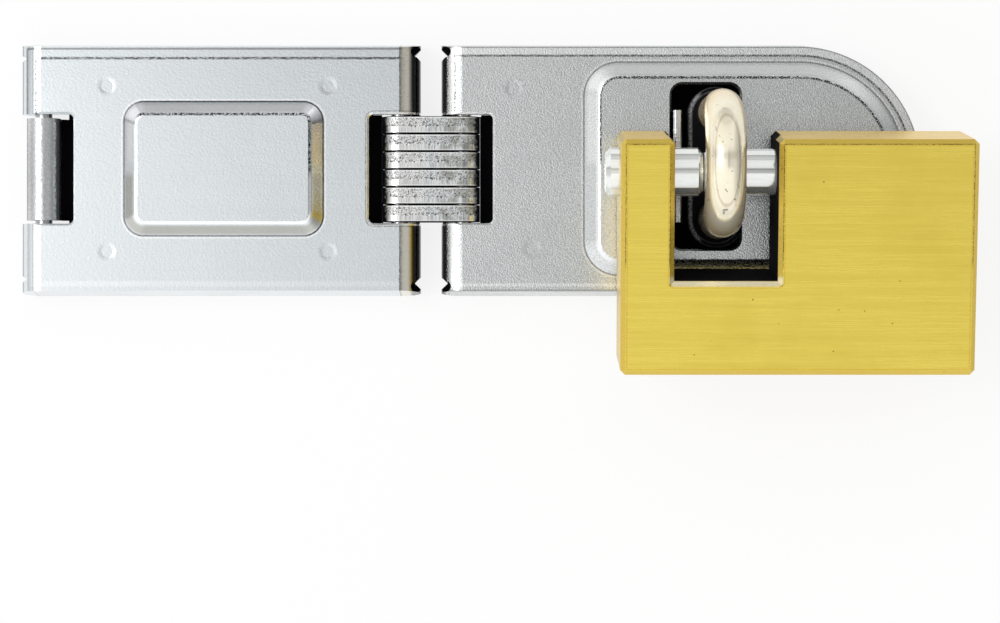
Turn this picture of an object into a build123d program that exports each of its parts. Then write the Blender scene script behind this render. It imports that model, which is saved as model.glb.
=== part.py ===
from build123d import *
from math import acos, atan2, cos, degrees, hypot
import os

# Hasp and padlock, lying on its back as it does on a door. Millimetres, +Z away from the door.
# X runs along the hasp from the hinged end to the round end, Y across it, z = 0 is the door.
# The origin is the middle of the base plate's four screw holes, on the door plane.

# Hinge pins and the sheets curled round them
pin_d = 3.0
curl_clear = 0.25
pin_fit = 0.04
leaf_sheet = 2.0
base_sheet = 1.5
liner_sheet = 1.5
pin_trap_clear = 0.15

# Leaves
leaf_width = 44.5
side_flare = 0.9
bend_radius = 2.4
cover_pin_span = 62.7
slotted_leaf_reach = 81.1
base_pin_x = -30.0
edge_ease = 0.35

# Notches and pierced holes at the leaves' corners, where the curls part from the side flanges
corner_hole_d = 1.9
corner_hole_inset = 0.75
corner_hole_out = 1.25
corner_notch_mouth = 2.1
corner_notch_depth = 1.1
corner_notch_out = 0.7
end_notch_mouth = 1.3
end_notch_depth = 1.2

# Raised pad of the cover leaf
pad_length = 34.8
pad_width = 23.4
pad_middle_x = 2.0
pad_corner = 3.5
pad_rise = 1.8
pad_slope = 2.1

# Raised plateau of the slotted leaf
plateau_start = 21.3
plateau_margin = 3.65
plateau_corner = 6.0
plateau_rise = 1.8
plateau_slope = 2.6
press_radius = 1.0

# Slot for the staple, and the liner's lip turned up through it
slot_width = 12.0
slot_length = 28.8
slot_corner = 1.9
slot_lead = 2.0
lip_length = 19.5
lip_stand = 1.3
lip_clear = 0.3

# Links
link_count = 6
link_thick = 2.95
link_gap = 0.16
link_radius = 3.0
link_pitch = 11.15
link_bore_clear = 0.08
window_clear = 0.3
window_depth = 5.3
window_corner = 0.9

# Base plate and its knuckle
knuckle_length = 17.9
notch_clear = 0.65
notch_depth = 5.7
base_clear = 0.35
base_end_clear = 9.0
base_plate_width = 37.0
plate_corner = 2.0
screw_d = 4.5
screw_head_d = 8.5
base_screws_x = 34.0
base_screws_y = 24.0

# Liners
liner_width = 36.5
liner_clear = 0.5
well_floor = 0.4
well_clear = 0.2

# Staple
staple_from_round = 14.4
staple_y = 0.3
staple_plate_sheet = 2.0
staple_plate_length = 42.0
staple_plate_width = 36.0
staple_screws_x = 32.0
staple_screws_y = 25.0
foot_width = 10.1
foot_length = 28.4
foot_under_leaf = 0.4
eye_wire = 6.9
eye_width = 25.4
eye_arc_z = 20.9
eye_foot_ease = 0.8
tenon_d = 5.4

# Padlock block
wide_width = 33.5
lock_height = 40.0
lock_thick = 18.0
lock_chamfer = 0.8
ear_width = 9.0
notch_width = 17.5
notch_deep = 24.0
notch_shift = 0.2
bolt_below_top = 6.3
rest_clear = 0.25

# Stub and bolt
stub_d = 8.4
stub_proud = 2.4
stub_reach = 5.1
bolt_d = 7.9
bolt_head_d = 9.4
bolt_meet_gap = 0.2
bolt_chamfer = 0.8
bolt_slide_fit = 0.06
bolt_seat_gap = 0.35
bolt_below_arc = 0.1
bolt_guide = 4.0
bolt_spring_wire = 0.55
bolt_spring_pitch = 0.95
groove_land = 1.5
dog_groove_width = 5.8
dog_groove_depth = 1.2
stop_pin_d = 2.0
stop_pin_inset = 4.3
stop_pin_bite = 1.4
stop_pin_clear = 0.15
stop_pin_depth = 12.6
spring_end_gap = 0.05

# Cylinder
plug_d = 12.0
plug_fit = 0.06
plug_recess = 0.3
plug_length = 24.0
plug_chamfer = 0.4
keyway_width = 1.7
keyway_height = 7.4
keyway_end_wall = 2.0
ward_width = 1.5
ward_depth = 0.6
key_pin_lengths = [2.6, 3.4, 2.2, 3.0, 2.5]
pin_pitch = 3.5
first_pin = 8.2
tumbler_d = 2.6
tumbler_fit = 0.06
tumbler_ease = 0.25
shear_gap = 0.06
driver_length = 3.6
pin_spring_length = 4.9
pin_spring_wire = 0.4
pin_spring_pitch = 1.4
chamber_plug_length = 2.2
keyway_floor = 1.4
retainer_from_mouth = 3.4
retainer_depth = 14.4

# Locking dog
dog_d = 5.0
dog_head = 2.2
dog_fit = 0.1
dog_gap = 0.2
dog_stem_d = 2.2
dog_ease = 0.5
dog_spring_wire = 0.5
dog_spring_pitch = 1.0

# Sizes that follow from those above
pin_r = pin_d / 2
curl_inner = pin_r + curl_clear
curl_outer = curl_inner + leaf_sheet
pin_z = curl_outer
leaf_top = 2 * curl_outer
leaf_under = leaf_top - leaf_sheet
half_width = leaf_width / 2
knuckle_outer = pin_r + base_sheet
left_link_x = base_pin_x + cover_pin_span
right_link_x = left_link_x + link_pitch
leaf_end_x = right_link_x + slotted_leaf_reach
round_x = leaf_end_x - half_width
staple_x = round_x - staple_from_round
pack_width = link_count * link_thick + (link_count - 1) * link_gap
window_half = pack_width / 2 + window_clear
knuckle_notch_half = knuckle_length / 2 + notch_clear
inner_half = half_width - side_flare - leaf_sheet
pin_length = 2 * inner_half - 0.6
plateau_top = leaf_top + plateau_rise
plateau_half = half_width - plateau_margin
lip_top = plateau_top + lip_stand
liner_bottom = leaf_under - liner_sheet
liner_half = liner_width / 2
foot_top = leaf_under + plateau_rise - foot_under_leaf
slot_x = staple_x - slot_lead
eye_arc_r = (eye_width - eye_wire) / 2

# The bolt lies against the inside of the eye's leg, and the block's back leans on the plateau's edge
bolt_y = staple_y - (eye_arc_r - eye_wire / 2 - bolt_d / 2 - bolt_seat_gap)
bolt_z = eye_arc_z - bolt_below_arc
edge_y = plateau_half - plateau_slope + bolt_y
edge_z = bolt_z - plateau_top
lean_reach = hypot(edge_y, edge_z)
lock_dip = degrees(acos((lock_thick / 2 + rest_clear) / lean_reach) - atan2(edge_y, edge_z))
lock_place = Location((staple_x + notch_shift, bolt_y, bolt_z), (lock_dip, 0, 0))

# In the padlock's own frame the bolt's axis is X, +Y is the block's top and +Z its front
ear_right = -notch_width / 2
ear_left = ear_right - ear_width
wide_left = notch_width / 2
wide_right = wide_left + wide_width
lock_top = bolt_below_top
lock_bottom = lock_top - lock_height
chamber_length = shear_gap + driver_length + pin_spring_length + chamber_plug_length
plug_x = wide_right - chamber_length - plug_d / 2
plug_mouth = lock_bottom + plug_recess
plug_end = plug_mouth + plug_length
stub_end = ear_right + stub_reach
bolt_start = stub_end + bolt_meet_gap
head_start = plug_x - dog_groove_width / 2 - groove_land
bolt_travel = wide_left - bolt_start
head_bore_r = bolt_head_d / 2 + bolt_slide_fit
stop_pin_x = wide_right - stop_pin_inset
stop_pin_y = -bolt_head_d / 2 - stop_pin_d / 2 + stop_pin_bite
retainer_y = plug_mouth + retainer_from_mouth
pin_rows = [plug_mouth + first_pin + pin_pitch * n for n in range(len(key_pin_lengths))]
shear_x = plug_x + plug_d / 2
dog_tip = -bolt_head_d / 2 - dog_gap

far = 200.0


def box(x0, x1, y0, y1, z0, z1):
    """A block between two corners."""
    middle = ((x0 + x1) / 2, (y0 + y1) / 2, (z0 + z1) / 2)
    return Pos(*middle) * Box(x1 - x0, y1 - y0, z1 - z0)


def rod_x(x0, x1, radius, y=0.0, z=0.0):
    """A round bar along X."""
    return Pos((x0 + x1) / 2, y, z) * Rot(0, 90, 0) * Cylinder(radius, x1 - x0)


def rod_y(y0, y1, radius, x=0.0, z=0.0):
    """A round bar along Y."""
    return Pos(x, (y0 + y1) / 2, z) * Rot(90, 0, 0) * Cylinder(radius, y1 - y0)


def rod_z(z0, z1, radius, x=0.0, y=0.0):
    """A round bar along Z."""
    return Pos(x, y, (z0 + z1) / 2) * Cylinder(radius, z1 - z0)


def coil(radius, wire, length, pitch, sides):
    """A coil spring that starts at the origin and grows along +Z."""
    path = Helix(pitch, length - wire, radius)
    start = Plane(path @ 0, z_dir=path % 0)
    return Pos(0, 0, wire / 2) * sweep(start * RegularPolygon(wire / 2, sides), path, is_frenet=True)


def eased_opening(length, width, corner, x, y, bottom, top):
    """A round-cornered hole cut down from a top face, with its rim bevelled."""
    plan = Pos(x, y) * RectangleRounded(length, width, corner)
    flare = 2 * edge_ease
    wide_plan = Pos(x, y) * RectangleRounded(length + 2 * flare, width + 2 * flare, corner + flare)
    rim = loft([Pos(0, 0, top - edge_ease) * plan, Pos(0, 0, top + edge_ease) * wide_plan], ruled=True)
    return Pos(0, 0, bottom) * extrude(plan, top + 1 - bottom) + rim


def leaf_section(inset, low):
    """Half of a leaf's cross section on the -Y side, as (y, z) points on the YZ plane."""
    top = leaf_top - inset
    foot = half_width - inset + side_flare * (0 - low) / leaf_top
    crown = half_width - side_flare - inset
    with BuildSketch(Plane.YZ) as sketch:
        with BuildLine():
            Polyline((0, low), (-foot, low), (-crown, top), (0, top), close=True)
        make_face()
        corner = sketch.vertices().sort_by_distance((0, -crown, top))[0]
        fillet(corner, max(bend_radius - inset, 0.4))
    return sketch.sketch


def leaf_prism(inset, low, x0, x1, round_end):
    """The space between a leaf's faces, straight or with a half-round right end."""
    half = leaf_section(inset, low)
    whole = half + mirror(half, about=Plane.XZ)
    body = Pos(x0, 0, 0) * extrude(whole, x1 - x0, dir=(1, 0, 0))
    if round_end:
        axis = Axis((x1, 0, 0), (0, 0, 1))
        body += revolve(Pos(x1, 0, 0) * half, axis, 180)
    return body


def curl_profile(radius, x0, x1):
    """A long round-ended bar as wide as a leaf: the curls' envelope at both pins."""
    middle = (x0 + x1) / 2
    sketch = Plane.XZ * SlotCenterToCenter(x1 - x0, 2 * radius)
    return Pos(middle, 0, pin_z) * extrude(sketch, leaf_width, both=True)


def raised_panel(foot, crown, height, rise):
    """A pressed-up panel between its foot outline and its crown outline."""
    faces = [Pos(0, 0, height) * foot, Pos(0, 0, height + rise) * crown]
    return loft(faces, ruled=True)


def pad_outline(inset):
    """The cover leaf's pad, seen from above."""
    corner = pad_corner - inset * 0.7
    return Pos(pad_middle_x, 0) * RectangleRounded(pad_length - 2 * inset, pad_width - 2 * inset, corner)


def plateau_outline(inset):
    """The slotted leaf's plateau, seen from above: square at the left and round at the right."""
    left = right_link_x + plateau_start + inset
    half = plateau_half - inset
    corner = plateau_corner - inset
    with BuildSketch() as sketch:
        with BuildLine():
            Line((round_x, -half), (left + corner, -half))
            RadiusArc((left + corner, -half), (left, -half + corner), corner)
            Line((left, -half + corner), (left, half - corner))
            RadiusArc((left, half - corner), (left + corner, half), corner)
            Line((left + corner, half), (round_x, half))
            RadiusArc((round_x, half), (round_x, -half), half)
        make_face()
    return sketch.sketch


def press(shell, panel_foot, panel_crown, rise):
    """Raise a panel out of a leaf's top face and soften its bends."""
    raised = shell + raised_panel(panel_foot, panel_crown, leaf_top, rise)
    flat_top = raised.edges().filter_by_position(Axis.Z, leaf_top + rise - 0.01, leaf_top + rise + 0.01)
    return fillet(flat_top, press_radius)


def end_opening(pin_x, way, depth, half):
    """The window in a leaf's curled end, open at the end and round-cornered inside."""
    past = curl_outer + 2 * window_corner
    middle = pin_x + way * (past - depth) / 2
    return eased_opening(past + depth, 2 * half, window_corner, middle, 0, -1, leaf_top)


def vee_notch(end, way, y, mouth, depth):
    """A V notch that opens at a leaf's end."""
    spread = mouth / 2 * (depth + 1) / depth
    with BuildSketch() as vee:
        with BuildLine():
            Polyline((end - way * depth, y), (end + way, y - spread), (end + way, y + spread), close=True)
        make_face()
    return Pos(0, 0, -1) * extrude(vee.sketch, leaf_top + 2, dir=(0, 0, 1))


def corner_relief(pin_x, side, way):
    """The pierced hole and the notch where a curl parts from its side flange."""
    end = pin_x + way * curl_outer
    hole_y = side * (inner_half + corner_hole_out)
    hole = rod_z(pin_z, leaf_top + 1, corner_hole_d / 2, end - way * corner_hole_inset, hole_y)
    notch_y = side * (inner_half + corner_notch_out)
    return hole + vee_notch(end, way, notch_y, corner_notch_mouth, corner_notch_depth)


def make_cover_leaf():
    """The leaf over the base plate, curled round the base pin and the left link pin."""
    left = base_pin_x - curl_outer
    right = left_link_x + curl_outer
    outer = leaf_prism(0, 0, left, right, False) & curl_profile(curl_outer, base_pin_x, left_link_x)
    outer = press(outer, pad_outline(0), pad_outline(pad_slope), pad_rise)
    inner = leaf_prism(leaf_sheet, -1, left, right, False)
    hollow = curl_profile(curl_inner, base_pin_x, left_link_x)
    hollow += box(base_pin_x, left_link_x, -far, far, -1, leaf_under)
    inner = inner & hollow
    inner += raised_panel(pad_outline(0), pad_outline(pad_slope), leaf_under, pad_rise)
    leaf = outer - inner
    leaf -= end_opening(base_pin_x, -1, notch_depth, knuckle_notch_half)
    leaf -= end_opening(left_link_x, 1, window_depth, window_half)
    for side in (-1, 1):
        leaf -= corner_relief(left_link_x, side, 1)
        leaf -= vee_notch(left, -1, side * inner_half, end_notch_mouth, end_notch_depth)
    return leaf


def make_slotted_leaf():
    """The leaf that drops over the staple, curled round the right link pin."""
    left = right_link_x - curl_outer
    past = round_x + 2 * half_width
    outer = leaf_prism(0, 0, left, round_x, True) & curl_profile(curl_outer, right_link_x, past)
    outer = press(outer, plateau_outline(0), plateau_outline(plateau_slope), plateau_rise)
    inner = leaf_prism(leaf_sheet, -1, left, round_x, True)
    hollow = curl_profile(curl_inner, right_link_x, past)
    hollow += box(right_link_x, past, -far, far, -1, leaf_under)
    inner = inner & hollow
    inner += raised_panel(plateau_outline(0), plateau_outline(plateau_slope), leaf_under, plateau_rise)
    leaf = outer - inner
    leaf -= end_opening(right_link_x, -1, window_depth, window_half)
    leaf -= eased_opening(slot_width, slot_length, slot_corner, slot_x, staple_y, leaf_under, plateau_top)
    for side in (-1, 1):
        leaf -= corner_relief(right_link_x, side, -1)
    return leaf


def pin_hooks(pin_x, way, cut_half):
    """The liner's two turned-down ends that close a curl behind its pin."""
    near = pin_x + way * (pin_r + pin_trap_clear)
    deep = near + way * liner_sheet
    ends = sorted((near, deep))
    outside = cut_half + liner_clear
    hooks = box(*ends, outside, liner_half, pin_z - pin_r, leaf_under)
    return hooks + mirror(hooks, about=Plane.XZ)


def window_well(pin_x, way):
    """A liner's tongue, folded down behind a link window and forward under it."""
    wall = pin_x + way * (window_depth + liner_clear)
    back = wall + way * liner_sheet
    toe = pin_x + way * (link_radius + well_clear)
    half = window_half + well_clear
    tongue = box(*sorted((wall, back)), -half, half, well_floor, leaf_under)
    tongue += box(*sorted((toe, back)), -half, half, well_floor, well_floor + liner_sheet)
    heel = tongue.edges().filter_by(Axis.Y).sort_by_distance((back, 0, well_floor))[0]
    return fillet(heel, liner_sheet * 0.8)


def make_cover_liner():
    """The flat plate welded under the cover leaf."""
    start = base_pin_x + pin_r + pin_trap_clear
    end = left_link_x - pin_r - pin_trap_clear
    liner = box(start, end, -liner_half, liner_half, liner_bottom, leaf_under)
    notch_half = knuckle_notch_half + liner_clear
    clear_half = window_half + liner_clear
    liner -= box(start - 1, base_pin_x + notch_depth + liner_clear, -notch_half, notch_half, 0, far)
    liner -= box(left_link_x - window_depth - liner_clear, end + 1, -clear_half, clear_half, 0, far)
    liner += pin_hooks(base_pin_x, 1, knuckle_notch_half)
    liner += pin_hooks(left_link_x, -1, window_half)
    return liner + window_well(left_link_x, -1)


def make_slotted_liner():
    """The plate welded under the slotted leaf, with its lip turned up through the slot."""
    start = right_link_x + pin_r + pin_trap_clear
    flat = Pos((start + round_x) / 2, 0) * Rectangle(round_x - start, liner_width)
    flat += Pos(round_x, 0) * Circle(liner_half)
    liner = Pos(0, 0, liner_bottom) * extrude(flat, liner_sheet)
    clear_half = window_half + liner_clear
    liner -= box(start - 1, right_link_x + window_depth + liner_clear, -clear_half, clear_half, 0, far)
    liner += pin_hooks(right_link_x, 1, window_half)
    liner += window_well(right_link_x, 1)
    lip_left = slot_x - slot_width / 2 + lip_clear
    open_right = staple_x + foot_width / 2 + liner_clear
    open_half = foot_length / 2 + liner_clear
    liner -= box(lip_left, open_right, staple_y - open_half, staple_y + open_half, 0, far)
    half = lip_length / 2
    lip = box(lip_left, lip_left + liner_sheet, staple_y - half, staple_y + half, liner_bottom, lip_top)
    lip = fillet(lip.edges().filter_by(Axis.Y).group_by(Axis.Z)[-1], liner_sheet * 0.3)
    return liner + lip


def make_hinge_pin(x):
    """A plain pin through a curl."""
    pin = rod_y(-pin_length / 2, pin_length / 2, pin_r, x, pin_z)
    return chamfer(pin.edges(), pin_d * 0.1)


def make_link(number):
    """One link of the double hinge: a sheared bar with round ends and a bore for each pin."""
    first = -pack_width / 2 + number * (link_thick + link_gap)
    plan = SlotCenterToCenter(link_pitch, 2 * link_radius)
    for side in (-1, 1):
        plan -= Pos(side * link_pitch / 2, 0) * Circle(pin_r + link_bore_clear)
    middle = (left_link_x + right_link_x) / 2
    return Pos(middle, first + link_thick, pin_z) * extrude(Plane.XZ * plan, link_thick)


def screw_hole(x, y, sheet):
    """A countersunk hole through a plate that lies on the door."""
    sink = (screw_head_d - screw_d) / 2
    hole = rod_z(-1, sheet + 1, screw_d / 2, x, y)
    cone_depth = min(sink, sheet * 0.6)
    top_r = screw_d / 2 + cone_depth
    cone = Pos(x, y, sheet - cone_depth / 2) * Cone(screw_d / 2, top_r, cone_depth)
    return hole + cone


def make_base_plate():
    """The plate under the cover leaf, with its middle tongue rolled into the knuckle."""
    start = base_pin_x + curl_outer + base_clear
    end = left_link_x - base_end_clear
    plan = Pos((start + end) / 2, 0) * RectangleRounded(end - start, base_plate_width, plate_corner)
    plate = extrude(plan, base_sheet)
    half = knuckle_length / 2
    step = pin_z - knuckle_outer
    with BuildSketch(Plane.XZ) as tongue:
        with BuildLine():
            Polyline(
                (base_pin_x, step),
                (base_pin_x + pin_d * 0.8, step),
                (base_pin_x + pin_d * 1.3, 0),
                (start + plate_corner, 0),
                (start + plate_corner, base_sheet),
                (base_pin_x + pin_d * 1.45, base_sheet),
                (base_pin_x + pin_d * 0.95, step + base_sheet),
                (base_pin_x, step + base_sheet),
                close=True,
            )
        make_face()
    plate += extrude(tongue.sketch, half, both=True)
    plate += rod_y(-half, half, knuckle_outer, base_pin_x, pin_z)
    plate -= rod_y(-half - 1, half + 1, pin_r + pin_fit, base_pin_x, pin_z)
    slit = step + base_sheet
    plate -= box(base_pin_x + pin_r * 0.6, base_pin_x + knuckle_outer + 1, -half, half, slit, slit + 0.35)
    for side_x in (-1, 1):
        for side_y in (-1, 1):
            plate -= screw_hole(side_x * base_screws_x / 2, side_y * base_screws_y / 2, base_sheet)
    return plate


def make_staple_plate():
    """The plate on the frame that carries the eye."""
    plan = RectangleRounded(staple_plate_length, staple_plate_width, plate_corner)
    plate = Pos(staple_x, staple_y) * extrude(plan, staple_plate_sheet)
    for side_x in (-1, 1):
        for side_y in (-1, 1):
            x = staple_x + side_x * staple_screws_x / 2
            y = staple_y + side_y * staple_screws_y / 2
            plate -= screw_hole(x, y, staple_plate_sheet)
    for side in (-1, 1):
        plate -= rod_z(-1, staple_plate_sheet + 1, tenon_d / 2, staple_x, staple_y + side * eye_arc_r)
    return plate


def make_staple_eye():
    """The forged eye: an obround foot, two tenons riveted in the plate and the round loop."""
    foot = Rot(0, 0, 90) * SlotOverall(foot_length, foot_width)
    eye = Pos(0, 0, staple_plate_sheet) * extrude(foot, foot_top - staple_plate_sheet)
    eye = fillet(eye.edges().group_by(Axis.Z)[-1], eye_foot_ease)
    leg = eye_arc_z - foot_top + 1
    arc = Rot(0, -90, 0) * Torus(eye_arc_r, eye_wire / 2)
    arc = arc & box(-far, far, -far, far, 0, far)
    eye += Pos(0, 0, eye_arc_z) * arc
    for side in (-1, 1):
        eye += rod_z(foot_top - 1, eye_arc_z, eye_wire / 2, 0, side * eye_arc_r)
        eye += rod_z(0, staple_plate_sheet, tenon_d / 2, 0, side * eye_arc_r)
    return Pos(staple_x, staple_y, 0) * eye


def make_padlock_body():
    """The brass block with its notch, bored for the stub, bolt and cylinder."""
    with BuildSketch() as front:
        with BuildLine():
            Polyline(
                (ear_left, lock_bottom),
                (wide_right, lock_bottom),
                (wide_right, lock_top),
                (wide_left, lock_top),
                (wide_left, lock_top - notch_deep),
                (ear_right, lock_top - notch_deep),
                (ear_right, lock_top),
                (ear_left, lock_top),
                close=True,
            )
        make_face()
    block = extrude(front.sketch, lock_thick / 2, both=True)
    faces_round = block.faces().sort_by(Axis.Z)
    rims = faces_round[0].edges() + faces_round[-1].edges()
    outside = [
        edge
        for edge in block.edges().filter_by(Axis.Z)
        if edge.center().Y < lock_bottom + 1 or edge.center().Y > lock_top - 1
    ]
    block = chamfer(rims + ShapeList(outside), lock_chamfer)
    block -= rod_x(ear_left - 1, ear_right + 1, stub_d / 2 + pin_fit)
    block -= rod_x(wide_left - 1, wide_right, bolt_d / 2 + bolt_slide_fit)
    block -= rod_x(wide_left + bolt_guide, wide_right + 1, head_bore_r)
    block -= rod_y(lock_bottom - 1, plug_end, plug_d / 2 + plug_fit, plug_x)
    block -= rod_y(plug_end - 1, 0, dog_d / 2 + dog_fit, plug_x)
    for y in pin_rows:
        block -= rod_x(plug_x, wide_right + 1, tumbler_d / 2 + tumbler_fit, y)
    back = -lock_thick / 2
    cross_r = stop_pin_d / 2 + pin_fit
    block -= rod_z(back - 1, back + retainer_depth + pin_fit, cross_r, plug_x - plug_d / 2, retainer_y)
    block -= rod_z(back - 1, back + stop_pin_depth + pin_fit, cross_r, stop_pin_x, stop_pin_y)
    return block


def make_ear_stub():
    """The hardened stub fixed through the ear, chamfered at both ends."""
    stub = rod_x(ear_left - stub_proud, stub_end, stub_d / 2)
    return chamfer(stub.edges(), bolt_chamfer)


def make_locking_bolt():
    """The sliding bolt: a nose across the notch and a wider head in the block."""
    nose = rod_x(bolt_start, head_start + 1, bolt_d / 2)
    nose = chamfer(nose.edges().group_by(Axis.X)[0], bolt_chamfer)
    head = rod_x(head_start, wide_right, bolt_head_d / 2)
    head = chamfer(head.edges().group_by(Axis.X)[-1], bolt_chamfer)
    bolt = nose + head
    groove = rod_x(plug_x - dog_groove_width / 2, plug_x + dog_groove_width / 2, bolt_head_d / 2 + 1)
    groove -= rod_x(plug_x - far, plug_x + far, bolt_head_d / 2 - dog_groove_depth)
    bolt -= groove
    end_play = stop_pin_d / 2 + bolt_meet_gap
    slot_low = stop_pin_y + stop_pin_d / 2 + stop_pin_clear
    bolt -= box(stop_pin_x - bolt_travel - end_play, stop_pin_x + end_play, -far, slot_low, -far, far)
    return bolt


def make_bolt_spring():
    """The spring round the bolt's nose that throws it out."""
    radius = (bolt_head_d - bolt_spring_wire) / 2 - spring_end_gap
    start = wide_left + bolt_guide + spring_end_gap
    spring = coil(radius, bolt_spring_wire, head_start - spring_end_gap - start, bolt_spring_pitch, 6)
    return Pos(start, 0, 0) * Rot(0, 90, 0) * spring


def make_stop_pin(x, y, depth):
    """A short cross pin pressed in from the block's back."""
    back = -lock_thick / 2
    pin = rod_z(back + 0.1, back + depth, stop_pin_d / 2, x, y)
    return chamfer(pin.edges(), stop_pin_d * 0.08)


def make_cylinder_plug():
    """The plug that the key turns, with its keyway, pin holes and retaining groove."""
    plug = rod_y(plug_mouth, plug_end - dog_gap, plug_d / 2, plug_x)
    plug = chamfer(plug.edges().group_by(Axis.Y)[0], plug_chamfer)
    half = keyway_height / 2
    cheek = keyway_width / 2
    ends = (plug_mouth - 1, plug_end - keyway_end_wall)
    plug -= box(plug_x - half, plug_x + half, *ends, -cheek, cheek)
    plug -= box(plug_x - ward_width, plug_x, *ends, 0, cheek + ward_depth)
    plug -= box(plug_x - half, plug_x - half + ward_width, *ends, -cheek - ward_depth, 0)
    for y in pin_rows:
        plug -= rod_x(plug_x + keyway_floor, plug_x + plug_d, tumbler_d / 2 + tumbler_fit, y)
    half_groove = stop_pin_d / 2 + stop_pin_clear
    ring = rod_y(retainer_y - half_groove, retainer_y + half_groove, plug_d, plug_x)
    ring -= rod_y(-far, far, plug_d / 2 - half_groove, plug_x)
    return plug - ring


def tumbler(x0, x1, y):
    """One tumbler pin with eased ends."""
    return chamfer(rod_x(x0, x1, tumbler_d / 2, y).edges(), tumbler_ease)


def make_key_pins():
    """The pins that ride on the key, each its own length, ending at the plug's face."""
    face = plug_x + (plug_d / 2) * cos(atan2(tumbler_d, plug_d)) - shear_gap
    return [tumbler(face - length, face, y) for length, y in zip(key_pin_lengths, pin_rows)]


def make_driver_pins():
    """The upper pins, just outside the plug."""
    start = shear_x + shear_gap
    return [tumbler(start, start + driver_length, y) for y in pin_rows]


def make_pin_springs():
    """The small springs behind the driver pins."""
    start = shear_x + shear_gap + driver_length + spring_end_gap
    radius = tumbler_d / 2 - pin_spring_wire / 2 - spring_end_gap
    length = pin_spring_length - 2 * spring_end_gap
    spring = Rot(0, 90, 0) * coil(radius, pin_spring_wire, length, pin_spring_pitch, 4)
    return [Pos(start, y, 0) * spring for y in pin_rows]


def make_chamber_plugs():
    """The slugs that close the chambers at the block's right side."""
    start = wide_right - chamber_plug_length
    end = wide_right - spring_end_gap
    return [rod_x(start, end, tumbler_d / 2 + tumbler_fit / 2, y) for y in pin_rows]


def make_locking_dog():
    """The plunger under the bolt that drops into its groove, drawn back by the plug."""
    dog = rod_y(dog_tip - dog_head, dog_tip, dog_d / 2, plug_x)
    dog = chamfer(dog.edges().group_by(Axis.Y)[-1], dog_ease)
    return dog + rod_y(plug_end, dog_tip - dog_head / 2, dog_stem_d / 2, plug_x)


def make_dog_spring():
    """The spring round the dog's stem."""
    room = dog_tip - dog_head - spring_end_gap - plug_end
    radius = (dog_d - dog_spring_wire) / 2 - dog_fit
    spring = coil(radius, dog_spring_wire, room, dog_spring_pitch, 6)
    return Pos(plug_x, plug_end, 0) * Rot(-90, 0, 0) * spring


def lock_piece(shape):
    """Set a piece of the padlock in its leaning place."""
    if isinstance(shape, list):
        return Compound(children=[lock_place * one for one in shape])
    return lock_place * shape


pieces = {
    "base_plate": make_base_plate(),
    "base_hinge_pin": make_hinge_pin(base_pin_x),
    "cover_leaf": make_cover_leaf(),
    "cover_leaf_liner": make_cover_liner(),
    "link_pin_left": make_hinge_pin(left_link_x),
    "link_pin_right": make_hinge_pin(right_link_x),
    "slotted_leaf": make_slotted_leaf(),
    "slotted_leaf_liner": make_slotted_liner(),
    "staple_plate": make_staple_plate(),
    "staple_eye": make_staple_eye(),
    "padlock_body": lock_piece(make_padlock_body()),
    "ear_stub": lock_piece(make_ear_stub()),
    "locking_bolt": lock_piece(make_locking_bolt()),
    "bolt_spring": lock_piece(make_bolt_spring()),
    "bolt_stop_pin": lock_piece(make_stop_pin(stop_pin_x, stop_pin_y, stop_pin_depth)),
    "plug_retainer": lock_piece(make_stop_pin(plug_x - plug_d / 2, retainer_y, retainer_depth)),
    "cylinder_plug": lock_piece(make_cylinder_plug()),
    "key_pins": lock_piece(make_key_pins()),
    "driver_pins": lock_piece(make_driver_pins()),
    "pin_springs": lock_piece(make_pin_springs()),
    "chamber_plugs": lock_piece(make_chamber_plugs()),
    "locking_dog": lock_piece(make_locking_dog()),
    "dog_spring": lock_piece(make_dog_spring()),
}
for number in range(link_count):
    pieces[f"hinge_link_{number + 1}"] = make_link(number)

os.makedirs("parts", exist_ok=True)
for name, shape in pieces.items():
    export_step(shape, f"parts/{name}.step")

print(f"padlock leans {lock_dip:.2f} degrees, bolt axis at y {bolt_y:.2f}, z {bolt_z:.2f}")
print(f"bolt travel {bolt_travel:.2f} mm, base pin x {base_pin_x:.2f}, link pins x {left_link_x:.2f} {right_link_x:.2f}")
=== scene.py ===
# %% [markdown]
# # A hasp and padlock on a white table
# The part lies flat, as it would on a door: a pressed steel hasp with a laminated double hinge,
# locked at its staple by a brass block padlock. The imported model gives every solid, its place
# and its joints. This script gives the surfaces, the small marks, the light and the camera.
# Everything is in metres, with +Z up and the door plane at z = 0. Patterns are set out in
# millimetres, because that is how the pressing was drawn.

# %% Load the frame
import bpy
import math
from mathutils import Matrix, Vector


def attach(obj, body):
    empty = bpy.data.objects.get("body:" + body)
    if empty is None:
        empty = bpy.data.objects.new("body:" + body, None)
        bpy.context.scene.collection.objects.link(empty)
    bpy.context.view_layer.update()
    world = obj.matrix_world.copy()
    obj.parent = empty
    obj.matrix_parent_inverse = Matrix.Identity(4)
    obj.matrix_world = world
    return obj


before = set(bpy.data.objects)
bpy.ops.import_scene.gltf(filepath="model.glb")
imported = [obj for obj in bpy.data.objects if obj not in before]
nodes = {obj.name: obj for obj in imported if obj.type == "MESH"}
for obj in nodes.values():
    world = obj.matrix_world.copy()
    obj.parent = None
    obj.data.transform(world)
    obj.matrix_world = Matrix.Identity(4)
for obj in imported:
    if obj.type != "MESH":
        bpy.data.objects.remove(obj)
bpy.ops.object.select_all(action="DESELECT")
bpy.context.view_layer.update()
MM = 0.001
print("nodes:", len(nodes))

# %% [markdown]
# ## Tools for materials
# A material is a small graph of nodes. Each helper does one step that a hand would do in the
# editor, so that a finish reads as a list of what lies over what.

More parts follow.
